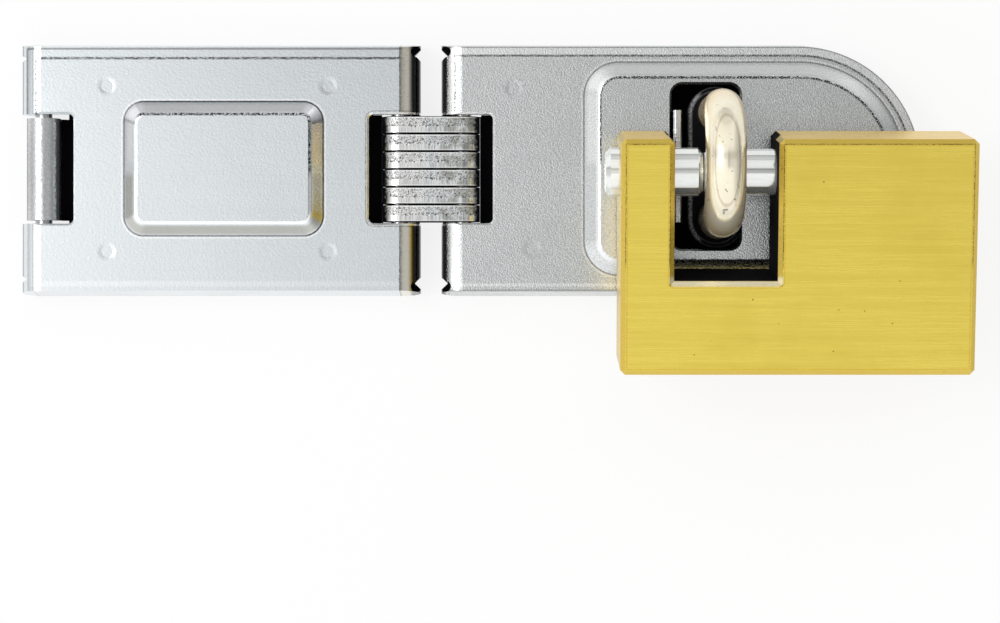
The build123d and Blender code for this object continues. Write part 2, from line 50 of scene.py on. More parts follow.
# %% Make a node
def fill(tree, node, inputs):
    """Fill or join a node's inputs. Grain_Size names a socket, and i0 stands for the first one."""
    for key, value in inputs.items():
        numbered = key[0] == "i" and key[1:].isdigit()
        socket = node.inputs[int(key[1:]) if numbered else key.replace("_", " ")]
        if isinstance(value, bpy.types.NodeSocket):
            tree.links.new(value, socket)
        else:
            socket.default_value = value


def add(tree, kind, settings=None, **inputs):
    """Make a node, set its own settings, and fill or join its inputs."""
    node = tree.nodes.new(kind)
    for key, value in (settings or {}).items():
        setattr(node, key, value)
    fill(tree, node, inputs)
    return node


# %% Work out values and colours
def calc(tree, operation, *values, clamp=False):
    """One Math node, read as operation(first, second, third)."""
    node = add(tree, "ShaderNodeMath", {"operation": operation, "use_clamp": clamp})
    fill(tree, node, {f"i{number}": value for number, value in enumerate(values)})
    return node.outputs[0]


def times(tree, first, second):
    """The product of two values. Of two masks, it is where both are."""
    return calc(tree, "MULTIPLY", first, second)


def fade(tree, value, start, end, low=0.0, high=1.0):
    """Go smoothly from low to high while a value goes from start to end."""
    return add(
        tree, "ShaderNodeMapRange", {"interpolation_type": "SMOOTHSTEP"},
        Value=value, From_Min=start, From_Max=end, To_Min=low, To_Max=high,
    ).outputs[0]


def between(tree, share, first, second):
    """A value between two others: the first at share 0, the second at share 1."""
    return add(tree, "ShaderNodeMix", {"data_type": "FLOAT"}, i0=share, i2=first, i3=second).outputs[0]


def lay_over(tree, mask, under, over):
    """Lay one colour over another where the mask is 1."""
    settings = {"data_type": "RGBA", "clamp_factor": True}
    return add(tree, "ShaderNodeMix", settings, i0=mask, i6=under, i7=over).outputs[2]


# %% Find the place, and make noise there
def place_in_mm(tree):
    """The surface's place in the part's own frame, in millimetres."""
    place = add(tree, "ShaderNodeTexCoord").outputs["Object"]
    return add(tree, "ShaderNodeVectorMath", {"operation": "SCALE"}, i0=place, Scale=1 / MM).outputs[0]


def stretch(tree, place, factors):
    """Scale a place by its own factor along each axis, so that a noise comes out as streaks."""
    return add(tree, "ShaderNodeVectorMath", {"operation": "MULTIPLY"}, i0=place, i1=factors).outputs[0]


def noise(tree, place, scale, detail=2.0, roughness=0.5, distortion=0.0):
    """Soft noise from 0 to 1. A scale of 1 on a place in mm gives forms about 1 mm across."""
    return add(
        tree, "ShaderNodeTexNoise", Vector=place, Scale=scale, Detail=detail,
        Roughness=roughness, Distortion=distortion,
    ).outputs["Fac"]


def spots(tree, place, scale, feature="F1", **smooth):
    """The distance from scattered points, about 1 mm apart at a scale of 1."""
    node = add(tree, "ShaderNodeTexVoronoi", {"feature": feature}, Vector=place, Scale=scale, **smooth)
    return node.outputs["Distance"]


def bump(tree, strength, distance, height):
    """A normal tilted by a height, whose full step is the distance."""
    return add(tree, "ShaderNodeBump", Strength=strength, Distance=distance, Height=height).outputs[0]


# %% Start a group
FLOAT, COLOR, VECTOR = "NodeSocketFloat", "NodeSocketColor", "NodeSocketVector"


def new_group(name, inputs, outputs):
    """Start a shader node group. Hands back its tree, and its inputs and outputs by name."""
    tree = bpy.data.node_groups.new(name, "ShaderNodeTree")
    for label, kind, value in inputs:
        socket = tree.interface.new_socket(label, in_out="INPUT", socket_type=kind)
        if value is not None:
            socket.default_value = value
    for label, kind in outputs:
        tree.interface.new_socket(label, in_out="OUTPUT", socket_type=kind)
    print("group:", name, "with", len(inputs), "inputs")
    return tree, tree.nodes.new("NodeGroupInput").outputs, tree.nodes.new("NodeGroupOutput").inputs


# %% [markdown]
# ## Grain of rolled and plated sheet
# Zinc plate on pressed sheet is never even. It has a fine pebbled grain that catches the light,
# broad soft clouds where the plating is duller, and faint streaks from the rolling mill. A
# picture of such sheet would need every piece unwrapped. Noise in the part's own millimetres
# doesn't, and it runs on over every edge. One group makes all three marks, and each finish sets
# how coarse and how strong they are.

# %% The sheet grain group
PEBBLE_HEIGHT = 0.2 * MM


def make_sheet_grain():
    tree, given, out = new_group(
        "Sheet grain",
        [
            ("Light Color", COLOR, (0.8, 0.8, 0.8, 1)),
            ("Dull Color", COLOR, (0.6, 0.6, 0.6, 1)),
            ("Grain Size", FLOAT, 0.4),
            ("Grain Depth", FLOAT, 0.2),
            ("Speckle", FLOAT, 0.3),
            ("Streaks", FLOAT, 0.2),
            ("Smooth Roughness", FLOAT, 0.2),
            ("Dull Roughness", FLOAT, 0.4),
        ],
        [("Color", COLOR), ("Roughness", FLOAT), ("Normal", VECTOR)],
    )
    place = place_in_mm(tree)
    size = calc(tree, "DIVIDE", 1.0, given["Grain Size"])
    bumps = spots(tree, place, size, "SMOOTH_F1", Smoothness=0.6)
    fine = noise(tree, place, times(tree, size, 1.3), detail=1.5)
    pebble = calc(tree, "MULTIPLY_ADD", bumps, 0.6, times(tree, fine, 0.7))
    cloud = noise(tree, place, 0.08, detail=5.0, roughness=0.62)
    streak = noise(tree, stretch(tree, place, (0.03, 1.1, 1.1)), 1.0, detail=4.0, roughness=0.7)
    lines = times(tree, fade(tree, streak, 0.42, 0.70), given["Streaks"])
    clouds = times(tree, fade(tree, cloud, 0.38, 0.70), 0.45)
    marks = calc(tree, "MULTIPLY_ADD", fade(tree, pebble, 0.50, 0.76), given["Speckle"], clouds)
    marks = calc(tree, "ADD", marks, lines, clamp=True)
    tree.links.new(lay_over(tree, marks, given["Light Color"], given["Dull Color"]), out["Color"])
    rough = between(tree, marks, given["Smooth Roughness"], given["Dull Roughness"])
    tree.links.new(rough, out["Roughness"])
    tilt = bump(tree, given["Grain Depth"], PEBBLE_HEIGHT, pebble)
    tree.links.new(tilt, out["Normal"])
    return tree


SHEET_GRAIN = make_sheet_grain()

# %% [markdown]
# ## Press lines and painted reflections
# A press leaves a drawn line wherever the sheet turns: round the foot and the crown of a raised
# field, and along each folded edge. The bends there also show thin bright and dark reflections,
# and these are painted in as lines too. Cut into the mesh, such thin and broken lines would take
# thousands of faces, so they are masks in the material. One group finds them by the distance
# from a rounded rectangle, which is below zero inside it and above zero outside. A second group
# turns any distance into a thin line, broken up as a burnished scuff is.

# %% The rounded outline group
def split(tree, vector):
    """The three parts of a vector."""
    parts = add(tree, "ShaderNodeSeparateXYZ", Vector=vector).outputs
    return parts["X"], parts["Y"], parts["Z"]


def most(tree, first, second):
    """The larger of two values. Of two masks, it is where either is."""
    return calc(tree, "MAXIMUM", first, second)


def make_rounded_outline():
    tree, given, out = new_group(
        "Rounded outline",
        [
            ("Place", VECTOR, None),
            ("Middle", VECTOR, (0, 0, 0)),
            ("Half", VECTOR, (10, 10, 0)),
            ("Left Corner", FLOAT, 3.0),
            ("Right Corner", FLOAT, 3.0),
        ],
        [("Distance", FLOAT)],
    )
    from_middle = add(
        tree, "ShaderNodeVectorMath", {"operation": "SUBTRACT"}, i0=given["Place"], i1=given["Middle"],
    ).outputs[0]
    at = split(tree, from_middle)
    half = split(tree, given["Half"])
    on_right = calc(tree, "GREATER_THAN", at[0], 0.0)
    step = calc(tree, "SUBTRACT", given["Right Corner"], given["Left Corner"])
    corner = calc(tree, "MULTIPLY_ADD", on_right, step, given["Left Corner"])
    beyond = []
    for axis in (0, 1):
        side = calc(tree, "SUBTRACT", calc(tree, "ABSOLUTE", at[axis]), half[axis])
        beyond.append(calc(tree, "ADD", side, corner))
    outside = add(
        tree, "ShaderNodeCombineXYZ", X=most(tree, beyond[0], 0.0), Y=most(tree, beyond[1], 0.0),
    ).outputs[0]
    round_part = add(tree, "ShaderNodeVectorMath", {"operation": "LENGTH"}, i0=outside).outputs["Value"]
    flat_part = calc(tree, "MINIMUM", most(tree, beyond[0], beyond[1]), 0.0)
    distance = calc(tree, "SUBTRACT", calc(tree, "ADD", round_part, flat_part), corner)
    tree.links.new(distance, out["Distance"])
    return tree


ROUNDED_OUTLINE = make_rounded_outline()


# %% The scribed line group
def make_scribed_line():
    tree, given, out = new_group(
        "Scribed line",
        [
            ("Distance", FLOAT, 0.0),
            ("Offset", FLOAT, 0.0),
            ("Half Width", FLOAT, 0.2),
            ("Wander", FLOAT, 0.05),
            ("Broken", FLOAT, 0.3),
        ],
        [("Mask", FLOAT)],
    )
    place = place_in_mm(tree)
    sway = calc(tree, "SUBTRACT", noise(tree, place, 1.6, detail=3.0, roughness=0.65), 0.5)
    sway = times(tree, sway, times(tree, given["Wander"], 4.0))
    away = calc(tree, "ADD", calc(tree, "SUBTRACT", given["Distance"], given["Offset"]), sway)
    across = calc(tree, "DIVIDE", calc(tree, "ABSOLUTE", away), given["Half Width"])
    bits = noise(tree, place, 4.5, detail=1.0)
    gaps = times(tree, fade(tree, bits, 0.46, 0.60), given["Broken"])
    whole = calc(tree, "SUBTRACT", 1.0, gaps)
    mask = calc(tree, "MULTIPLY", fade(tree, across, 1.25, 0.55), whole, clamp=True)
    tree.links.new(mask, out["Mask"])
    return tree


SCRIBED_LINE = make_scribed_line()

# %% [markdown]
# ## Shade in the deep places
# Inside the windows, the wells and the slot, shade is painted into the colour, so what lies deep
# looks black. A painted mask could say where. The height in the part's own frame says it too,
# and goes along when the hinge opens. The group compares the height with two levels, and asks
# how far up the surface faces, so that walls and undersides stay unshaded where they should.

# %% The depth shade group
FLAT_ENOUGH = 0.35


def facing_up(tree):
    """How far the surface faces up: 1 on a flat top, 0 on a wall, -1 underneath."""
    return split(tree, add(tree, "ShaderNodeTexCoord").outputs["Normal"])[2]


def make_depth_shade():
    tree, given, out = new_group(
        "Depth shade",
        [("Light Above", FLOAT, 6.0), ("Dark Below", FLOAT, 5.0), ("Facing Up", FLOAT, FLAT_ENOUGH)],
        [("Mask", FLOAT)],
    )
    height = split(tree, place_in_mm(tree))[2]
    # Painted shade: 1 where the surface lies deep and faces up, 0 above the upper level.
    deep = fade(tree, height, given["Dark Below"], given["Light Above"], 1.0, 0.0)
    faces_up = calc(tree, "GREATER_THAN", facing_up(tree), given["Facing Up"])
    tree.links.new(times(tree, deep, faces_up), out["Mask"])
    return tree


DEPTH_SHADE = make_depth_shade()

# %% [markdown]
# ## Brushing
# The brass block was drawn over a belt, so it carries hair-fine parallel scratches. An
# anisotropic shader would blur them into one smooth sheen. On the real block single scratches
# show, so a noise is stretched along its length: the same streaks vary the roughness, tint the
# colour slightly and tilt the surface. A coarser noise leaves faint smudges, and a few tiny
# specks sit in the brass where the casting had pores.

# %% The brushed group
SCRATCH_HEIGHT = 0.1 * MM
PORE_COLOR = (0.12, 0.06, 0.02, 1)


def make_brushed():
    tree, given, out = new_group(
        "Brushed streaks",
        [
            ("Light Color", COLOR, (0.8, 0.7, 0.3, 1)),
            ("Dark Color", COLOR, (0.6, 0.5, 0.2, 1)),
            ("Streak Stretch", VECTOR, (0.05, 3.0, 3.0)),
            ("Streak Depth", FLOAT, 0.2),
            ("Low Roughness", FLOAT, 0.25),
            ("High Roughness", FLOAT, 0.45),
            ("Pores", FLOAT, 0.0),
        ],
        [("Color", COLOR), ("Roughness", FLOAT), ("Normal", VECTOR)],
    )
    place = place_in_mm(tree)
    drawn = stretch(tree, place, given["Streak Stretch"])
    fine = noise(tree, drawn, 2.0, detail=4.0, roughness=0.7)
    broad = noise(tree, drawn, 0.3)
    smudge = noise(tree, place, 0.07, detail=4.0, roughness=0.6)
    streak = fade(tree, calc(tree, "MULTIPLY_ADD", broad, 0.5, fine), 0.55, 0.98)
    worn = calc(tree, "MULTIPLY_ADD", fade(tree, smudge, 0.45, 0.72), 0.35, times(tree, streak, 0.65))
    color = lay_over(tree, worn, given["Light Color"], given["Dark Color"])
    pore = times(tree, fade(tree, spots(tree, place, 0.28), 0.055, 0.03), given["Pores"])
    tree.links.new(lay_over(tree, pore, color, PORE_COLOR), out["Color"])
    rough = between(tree, worn, given["Low Roughness"], given["High Roughness"])
    tree.links.new(rough, out["Roughness"])
    tilt = bump(tree, given["Streak Depth"], SCRATCH_HEIGHT, fine)
    tree.links.new(tilt, out["Normal"])
    return tree


BRUSHED = make_brushed()

# %% [markdown]
# ## The finishes
# Each finish is a material with its own Principled shader, which takes colour, roughness and
# normal from the groups. Bare steel and zinc are fully metallic. The nickel, the chrome and the
# cut faces of the brass are less so, which lets plain white light show in them. The helpers join
# a surface to its shader, and lay press lines, painted highlights and painted shade over its
# colour.

# %% Start a finish and join it to its shader
# The black of painted shade and of painted dark reflections.
PAINTED_BLACK = (0.012, 0.012, 0.015, 1)
SHADE_ROUGHNESS = 0.9


def new_material(name):
    """Start a material and hand back its tree and Principled shader."""
    material = bpy.data.materials.new(name)
    material.use_nodes = True
    tree = material.node_tree
    print("finish:", name)
    return material, tree, tree.nodes["Principled BSDF"]


def use_group(tree, group, **inputs):
    """Place a group in a material, set its named inputs and hand back its outputs."""
    node = tree.nodes.new("ShaderNodeGroup")
    node.node_tree = group
    fill(tree, node, inputs)
    return node.outputs


def join_surface(tree, shader, surface, color=None, painted_shade=None, metallic=1.0):
    """Feed the shader from a surface's colour, roughness and normal. Painted shade takes the gloss away.
    """
    tree.links.new(color or surface["Color"], shader.inputs["Base Color"])
    rough = surface["Roughness"]
    if painted_shade is not None:
        rough = between(tree, painted_shade, rough, SHADE_ROUGHNESS)
    tree.links.new(rough, shader.inputs["Roughness"])
    tree.links.new(surface["Normal"], shader.inputs["Normal"])
    shader.inputs["Metallic"].default_value = metallic


# %% Lay lines and shade over a colour
GREY_LINE = (0.20, 0.20, 0.21, 1)
# White for painted highlights and painted bright reflections.
PAINTED_HIGHLIGHT = (1.0, 1.0, 1.0, 1)


def outline_of(tree, place, left, right, half_width, left_corner, right_corner, middle_y=0.0):
    """The distance from a rounded rectangle given by its ends and half width, in mm."""
    return use_group(
        tree, ROUNDED_OUTLINE, Place=place, Middle=((left + right) / 2, middle_y, 0.0),
        Half=((right - left) / 2, half_width, 0.0), Left_Corner=left_corner, Right_Corner=right_corner,
    )["Distance"]


def scribe(tree, color, distance, *lines):
    """Lay lines over a colour. Each is a tuple: its offset and half width in the distance's unit, how
    far it wanders, how broken it is, its colour and strength, and a mask if it keeps to one stretch."""
    for offset, half_width, wander, broken, paint, strength, *stretches in lines:
        mask = use_group(
            tree, SCRIBED_LINE, Distance=distance, Offset=offset, Half_Width=half_width,
            Wander=wander, Broken=broken,
        )["Mask"]
        mask = times(tree, mask, strength)
        for part in stretches:
            mask = times(tree, mask, part)
        color = lay_over(tree, mask, color, paint)
    return color


def depth_mask(tree, light_above, dark_below, faces=FLAT_ENOUGH):
    """Where the surface lies deep and faces up as far as given: there shade is painted dark."""
    return use_group(
        tree, DEPTH_SHADE, Light_Above=light_above, Dark_Below=dark_below, Facing_Up=faces,
    )["Mask"]


# %% [markdown]
# ## The cover leaf
# The cover leaf is pressed from zinc-plated sheet that came out smooth and a little blue. Its
# lines follow the raised pad and the folded edges: grey press lines, and painted highlights and
# painted dark reflections of the bends. These are dark along the pad's upper and right sides and
# bright along the lower and left ones, so masks by place say where each runs. The end curled round
# the pin has a warm tint, and painted shade where it faces the other leaf. Each mark is laid over
# the grain by itself, so that it can be moved when a size of the pressing changes.

# %% Sizes that the cover leaf's lines follow, in mm
# An outline is its left and right end, its half width, and its left and right corner radius.
LEAF_HALF = 22.25
COVER_EDGE = (-33.75, 36.45, LEAF_HALF, 0.1, 0.1)
PAD, PAD_SLOPE = (-15.4, 19.4, 11.7, 3.5, 3.5), 2.1
WINDOW = (27.4, 49.15, 9.55, 0.9, 0.9)
PAD_LEFT_SIDE, PAD_UPPER_SIDE, PAD_RIGHT_SIDE = (-14.0, -16.0), (-13.4, -12.4), (16.0, 17.0)
UPPER_HALF, LOWER_HALF, FOLD_LINE = (0.0, 2.0), (0.0, -2.0), -2.9
COVER_ROLL_LINE, COVER_CURL_LINE, COVER_GAP_LINE = -31.4, 32.9, 35.62
COVER_CURL_TINT, COVER_FACING_GAP = (32.8, 33.2), (34.3, 35.2)
LEAF_DARK_BELOW, LEAF_LIGHT_ABOVE = 4.6, 6.0
WARM_SHADE, CURL_TINT = (0.42, 0.40, 0.34, 1), (0.84, 0.79, 0.67, 1)
CURL_TINT_STRENGTH, GAP_STRENGTH = 0.85, 0.97


# %% The cover leaf's finish
def make_cover_zinc():
    material, tree, shader = new_material("cover_zinc")
    surface = use_group(
        tree, SHEET_GRAIN, Light_Color=(0.80, 0.84, 0.86, 1), Dull_Color=(0.71, 0.75, 0.77, 1),
        Grain_Size=0.40, Grain_Depth=0.06, Speckle=0.22, Streaks=0.30,
        Smooth_Roughness=0.16, Dull_Roughness=0.26,
    )
    place = place_in_mm(tree)
    x_mm, y_mm, _ = split(tree, place)
    upper = fade(tree, y_mm, *UPPER_HALF)
    lower = fade(tree, y_mm, *LOWER_HALF)
    lower_left = most(tree, lower, fade(tree, x_mm, *PAD_LEFT_SIDE))
    upper_side = times(tree, upper, fade(tree, x_mm, *PAD_UPPER_SIDE))
    upper_right = most(tree, upper_side, fade(tree, x_mm, *PAD_RIGHT_SIDE))
    pad = outline_of(tree, place, *PAD)
    # Round the pad: a grey press line, painted highlights, and painted dark reflections above and right.
    color = scribe(
        tree, surface["Color"], pad,
        (0.05, 0.16, 0.03, 0.25, GREY_LINE, 0.9),
        (0.05, 0.12, 0.03, 0.2, PAINTED_BLACK, 0.85, upper_right),
        (0.42, 0.14, 0.03, 0.2, PAINTED_HIGHLIGHT, 0.8),
        (-1.25, 0.75, 0.05, 0.1, PAINTED_HIGHLIGHT, 0.55, upper),
        (-0.95, 0.80, 0.05, 0.1, WARM_SHADE, 0.65, lower),
        (-PAD_SLOPE - 0.15, 0.27, 0.05, 0.75, PAINTED_BLACK, 1.0, upper_right),
        (-PAD_SLOPE - 0.1, 0.30, 0.05, 0.3, PAINTED_HIGHLIGHT, 0.9, lower_left),
    )
    edge = outline_of(tree, place, *COVER_EDGE)
    # Along the folded edges: press lines, with painted dark reflections above and highlights below.
    color = scribe(
        tree, color, edge,
        (FOLD_LINE, 0.24, 0.07, 0.75, PAINTED_BLACK, 0.9, upper),
        (-1.25, 0.20, 0.03, 0.2, GREY_LINE, 0.75, upper),
        (-2.1, 0.5, 0.05, 0.2, PAINTED_HIGHLIGHT, 0.35, lower),
    )
    # Where the ends roll: a grey press line, and a painted dark reflection where the curl starts.
    color = scribe(
        tree, color, x_mm,
        (COVER_ROLL_LINE, 0.12, 0.02, 0.2, GREY_LINE, 0.5),
        (COVER_CURL_LINE, 0.17, 0.04, 0.6, PAINTED_BLACK, 0.8),
    )
    # A warm tint from where the curl starts.
    curl_tint = times(tree, fade(tree, x_mm, *COVER_CURL_TINT), CURL_TINT_STRENGTH)
    color = lay_over(tree, curl_tint, color, CURL_TINT)
    # Painted shade where the curl faces the other leaf.
    facing_gap = times(tree, fade(tree, x_mm, *COVER_FACING_GAP), GAP_STRENGTH)
    color = lay_over(tree, facing_gap, color, PAINTED_BLACK)
    color = scribe(tree, color, x_mm, (COVER_GAP_LINE, 0.10, 0.02, 0.2, GREY_LINE, 0.6))
    # A painted highlight and a painted dark line round the window.
    window = outline_of(tree, place, *WINDOW)
    color = scribe(
        tree, color, window,
        (0.20, 0.20, 0.02, 0.15, PAINTED_HIGHLIGHT, 0.8),
        (0.55, 0.10, 0.05, 0.7, PAINTED_BLACK, 0.6),
    )
    # Painted shade in the deep places.
    painted_shade = depth_mask(tree, LEAF_LIGHT_ABOVE, LEAF_DARK_BELOW)
    join_surface(tree, shader, surface, lay_over(tree, painted_shade, color, PAINTED_BLACK), painted_shade)
    return material


cover_zinc = make_cover_zinc()

# %% [markdown]
# ## The slotted leaf
# This leaf comes from the same kind of sheet, but it has an even pebble all over, so its grain
# is finer, deeper and duller. Its lines follow the raised plateau, whose right end is a half
# circle, and the round end of the leaf: grey press lines, painted highlights and painted dark
# reflections of the bends, and painted shade where its curl faces the other leaf. It could share
# the cover's material, but its lines lie elsewhere: the same groups draw them, with this leaf's
# own sizes.

# %% Sizes that the slotted leaf's lines follow, in mm
SLOTTED_EDGE = (40.1, 124.95, LEAF_HALF, 0.1, LEAF_HALF)
PLATEAU_HALF, PLATEAU_SLOPE = 18.6, 2.6
PLATEAU = (65.15, 121.3, PLATEAU_HALF, 6.0, PLATEAU_HALF)
PLATEAU_LEFT_SIDE = (72.0, 68.0)
SLOTTED_CURL_LINE, SLOTTED_FACING_GAP = 41.4, (41.0, 40.7)


# %% The slotted leaf's finish
def make_slotted_zinc():
    material, tree, shader = new_material("slotted_zinc")
    surface = use_group(
        tree, SHEET_GRAIN, Light_Color=(0.79, 0.81, 0.81, 1), Dull_Color=(0.56, 0.58, 0.58, 1),
        Grain_Size=0.27, Grain_Depth=0.20, Speckle=0.60, Streaks=0.04,
        Smooth_Roughness=0.20, Dull_Roughness=0.32,
    )
    place = place_in_mm(tree)
    x_mm, y_mm, _ = split(tree, place)
    upper = fade(tree, y_mm, *UPPER_HALF)
    lower = fade(tree, y_mm, *LOWER_HALF)
    left_side = fade(tree, x_mm, *PLATEAU_LEFT_SIDE)
    plateau = outline_of(tree, place, *PLATEAU)
    # Round the plateau: a grey press line, painted highlights, and a painted dark reflection above.
    color = scribe(
        tree, surface["Color"], plateau,
        (0.05, 0.15, 0.03, 0.3, GREY_LINE, 0.8),
        (0.40, 0.14, 0.03, 0.2, PAINTED_HIGHLIGHT, 0.6),
        (-1.35, 0.95, 0.05, 0.1, PAINTED_HIGHLIGHT, 0.5, upper),
        (-PLATEAU_SLOPE - 0.15, 0.26, 0.06, 0.7, PAINTED_BLACK, 1.0, upper),
        (-PLATEAU_SLOPE + 0.3, 0.35, 0.05, 0.2, PAINTED_HIGHLIGHT, 0.7, left_side),
    )
    # Along the edges: grey press lines, painted highlights, and a painted dark reflection above.
    edge = outline_of(tree, place, *SLOTTED_EDGE)
    color = scribe(
        tree, color, edge,
        (-1.75, 0.75, 0.05, 0.1, PAINTED_HIGHLIGHT, 0.65, upper),
        (FOLD_LINE + 0.45, 0.20, 0.05, 0.6, PAINTED_BLACK, 0.85, upper),
        (-0.9, 0.20, 0.03, 0.2, GREY_LINE, 0.7, upper),
        (-0.9, 0.20, 0.03, 0.2, GREY_LINE, 0.7, lower),
        (-1.9, 0.30, 0.03, 0.2, PAINTED_HIGHLIGHT, 0.6, lower),
    )
    color = scribe(tree, color, x_mm, (SLOTTED_CURL_LINE, 0.14, 0.02, 0.3, GREY_LINE, 0.5))
    # Painted shade where the curl faces the other leaf.
    facing_gap = times(tree, fade(tree, x_mm, *SLOTTED_FACING_GAP), GAP_STRENGTH)
    color = lay_over(tree, facing_gap, color, PAINTED_BLACK)
    # A painted highlight round the window.
    window = outline_of(tree, place, *WINDOW)
    color = scribe(tree, color, window, (0.20, 0.20, 0.02, 0.15, PAINTED_HIGHLIGHT, 0.8))
    # Painted shade in the deep places.
    painted_shade = depth_mask(tree, LEAF_LIGHT_ABOVE, LEAF_DARK_BELOW)
    join_surface(tree, shader, surface, lay_over(tree, painted_shade, color, PAINTED_BLACK), painted_shade)
    return material


slotted_zinc = make_slotted_zinc()

# %% [markdown]
# ## Plates that lie in shade
# The base plate, the two liners and the staple's plate are seen only through the windows and the
# slot. Their zinc is duller than the leaves', and what lies below a certain height is painted dark
# as shade. One function makes all four finishes, and each plate gives its own levels. The slotted
# leaf's weld marks use it too, with levels so low that no shade is painted on them.

# %% Finishes of the hidden plates
FAR_RIGHT, SHADE_FADE_WIDTH = 1000.0, 3.0
WALLS_TOO = -0.5


def shaded_sheet(name, light_above, dark_below, unshaded_from=FAR_RIGHT, faces=FLAT_ENOUGH):
    """Hidden zinc with painted shade below a height, as far right as the plate is exposed, in mm."""
    material, tree, shader = new_material(name)
    surface = use_group(
        tree, SHEET_GRAIN, Light_Color=(0.72, 0.73, 0.74, 1), Dull_Color=(0.50, 0.51, 0.52, 1),
        Grain_Size=0.45, Grain_Depth=0.2, Speckle=0.5, Streaks=0.1,
        Smooth_Roughness=0.25, Dull_Roughness=0.4,
    )
    x_mm = split(tree, place_in_mm(tree))[0]
    exposed = fade(tree, x_mm, unshaded_from - SHADE_FADE_WIDTH, unshaded_from, 1.0, 0.0)
    # Painted shade: dark below a height, as far right as the plate is seen.
    painted_shade = times(tree, depth_mask(tree, light_above, dark_below, faces), exposed)
    join_surface(tree, shader, surface, lay_over(tree, painted_shade, surface["Color"], PAINTED_BLACK), painted_shade)
    return material


weld_zinc = shaded_sheet("weld_zinc", 1.0, 0.5)
# The knuckle round the base pin stands up to 6.75 mm and shows in the left notch. Past the
# notch the base plate gets no painted shade, so it is bare when the cover opens.
base_zinc = shaded_sheet("base_zinc", 5.6, 4.2, unshaded_from=-21.0)
# The lip beside the slot stands up to 10.6 mm and is the one part of a liner without painted
# shade. Its upright walls are painted dark as well, and only its underside is left unshaded.
liner_zinc = shaded_sheet("liner_zinc", 10.3, 9.8, faces=WALLS_TOO)
plate_zinc = shaded_sheet("plate_zinc", 4.0, 3.0)

# %% [markdown]
# ## The hinge links
# Each link is stamped from thick strip, so its edge shows how a punch cuts: the lower part is
# burnished with fine upright lines, and above it the steel tore away in a rough, pitted band.
# Six links could have six materials, but they repeat at one pitch. A group finds the place
# within a link's thickness from that pitch, and lays out the two bands, so one finish fits all.

# %% The punched edge group
LINK_FIRST_Y, LINK_PITCH, LINK_THICK, LINK_BURNISHED = -9.25, 3.11, 2.95, 1.15


def make_punched_edge():
    tree, given, out = new_group(
        "Punched edge",
        [
            ("First Edge", FLOAT, 0.0),
            ("Pitch", FLOAT, 3.0),
            ("Thick", FLOAT, 2.9),
            ("Burnished", FLOAT, 1.2),
        ],
        [
            ("Torn", FLOAT), ("Pits", FLOAT), ("Rim", FLOAT),
            ("Gap", FLOAT), ("Lines", FLOAT), ("Height", FLOAT),
        ],
    )
    place = place_in_mm(tree)
    y_mm = split(tree, place)[1]
    links_up = calc(tree, "DIVIDE", calc(tree, "SUBTRACT", y_mm, given["First Edge"]), given["Pitch"])
    across = times(tree, calc(tree, "FRACT", links_up), given["Pitch"])
    wave = calc(tree, "SUBTRACT", noise(tree, place, 0.9), 0.5)
    over_edge = calc(tree, "SUBTRACT", across, calc(tree, "MULTIPLY_ADD", wave, 0.5, given["Burnished"]))
    torn = fade(tree, over_edge, -0.05, 0.12)
    worms = noise(tree, place, 3.6, roughness=0.55, distortion=1.4)
    worm = times(tree, fade(tree, worms, 0.49, 0.60), torn)
    from_row = calc(tree, "ABSOLUTE", calc(tree, "SUBTRACT", over_edge, 0.12))
    row = times(tree, fade(tree, spots(tree, place, 1.7), 0.46, 0.26), fade(tree, from_row, 0.32, 0.12))
    pits = most(tree, worm, row)
    lines = noise(tree, stretch(tree, place, (4.2, 0.3, 1.0)), 1.0, detail=3.0, roughness=0.7)
    from_edge = calc(tree, "MINIMUM", across, calc(tree, "SUBTRACT", given["Thick"], across))
    # Rim is where a painted highlight runs along each edge; Gap is where painted shade fills the gap.
    results = {
        "Torn": torn,
        "Pits": pits,
        "Rim": fade(tree, from_edge, 0.36, 0.24),
        "Gap": fade(tree, from_edge, 0.15, 0.09),
        "Lines": fade(tree, lines, 0.42, 0.62),
        "Height": calc(tree, "MULTIPLY_ADD", pits, -1.0, times(tree, lines, 0.25)),
    }
    for label, value in results.items():
        tree.links.new(value, out[label])
    return tree


PUNCHED_EDGE = make_punched_edge()

# %% [markdown]
# ## The links' finish
# The marks are laid over each other like coats of paint, the broad ones first: burnished lines,
# the torn band, the lighter left end, the darker right end, the pits and painted highlights along
# the rims. Painted shade fills the gaps between the links, and hides their ends where the windows
# are deep. Its edge is made ragged by a noise, because a straight one would look painted.

# %% The links' finish
LINK_MIDDLE_X, LINK_CLEAN_HALF = 38.275, 7.6
LINK_LIGHT_END, LINK_DARK_END = (37.6, 37.1), (39.6, 40.6)
BURNISHED_LIGHT, BURNISHED_DARK = (0.84, 0.86, 0.86, 1), (0.34, 0.35, 0.36, 1)
TORN_STEEL, PIT_COLOR = (0.60, 0.62, 0.63, 1), (0.05, 0.05, 0.05, 1)
LIGHT_END_STEEL, DARK_END_STEEL = (0.90, 0.88, 0.84, 1), (0.26, 0.26, 0.22, 1)
BURNISHED_ROUGHNESS, TORN_ROUGHNESS = 0.28, 0.42
PIT_HEIGHT = 0.12 * MM


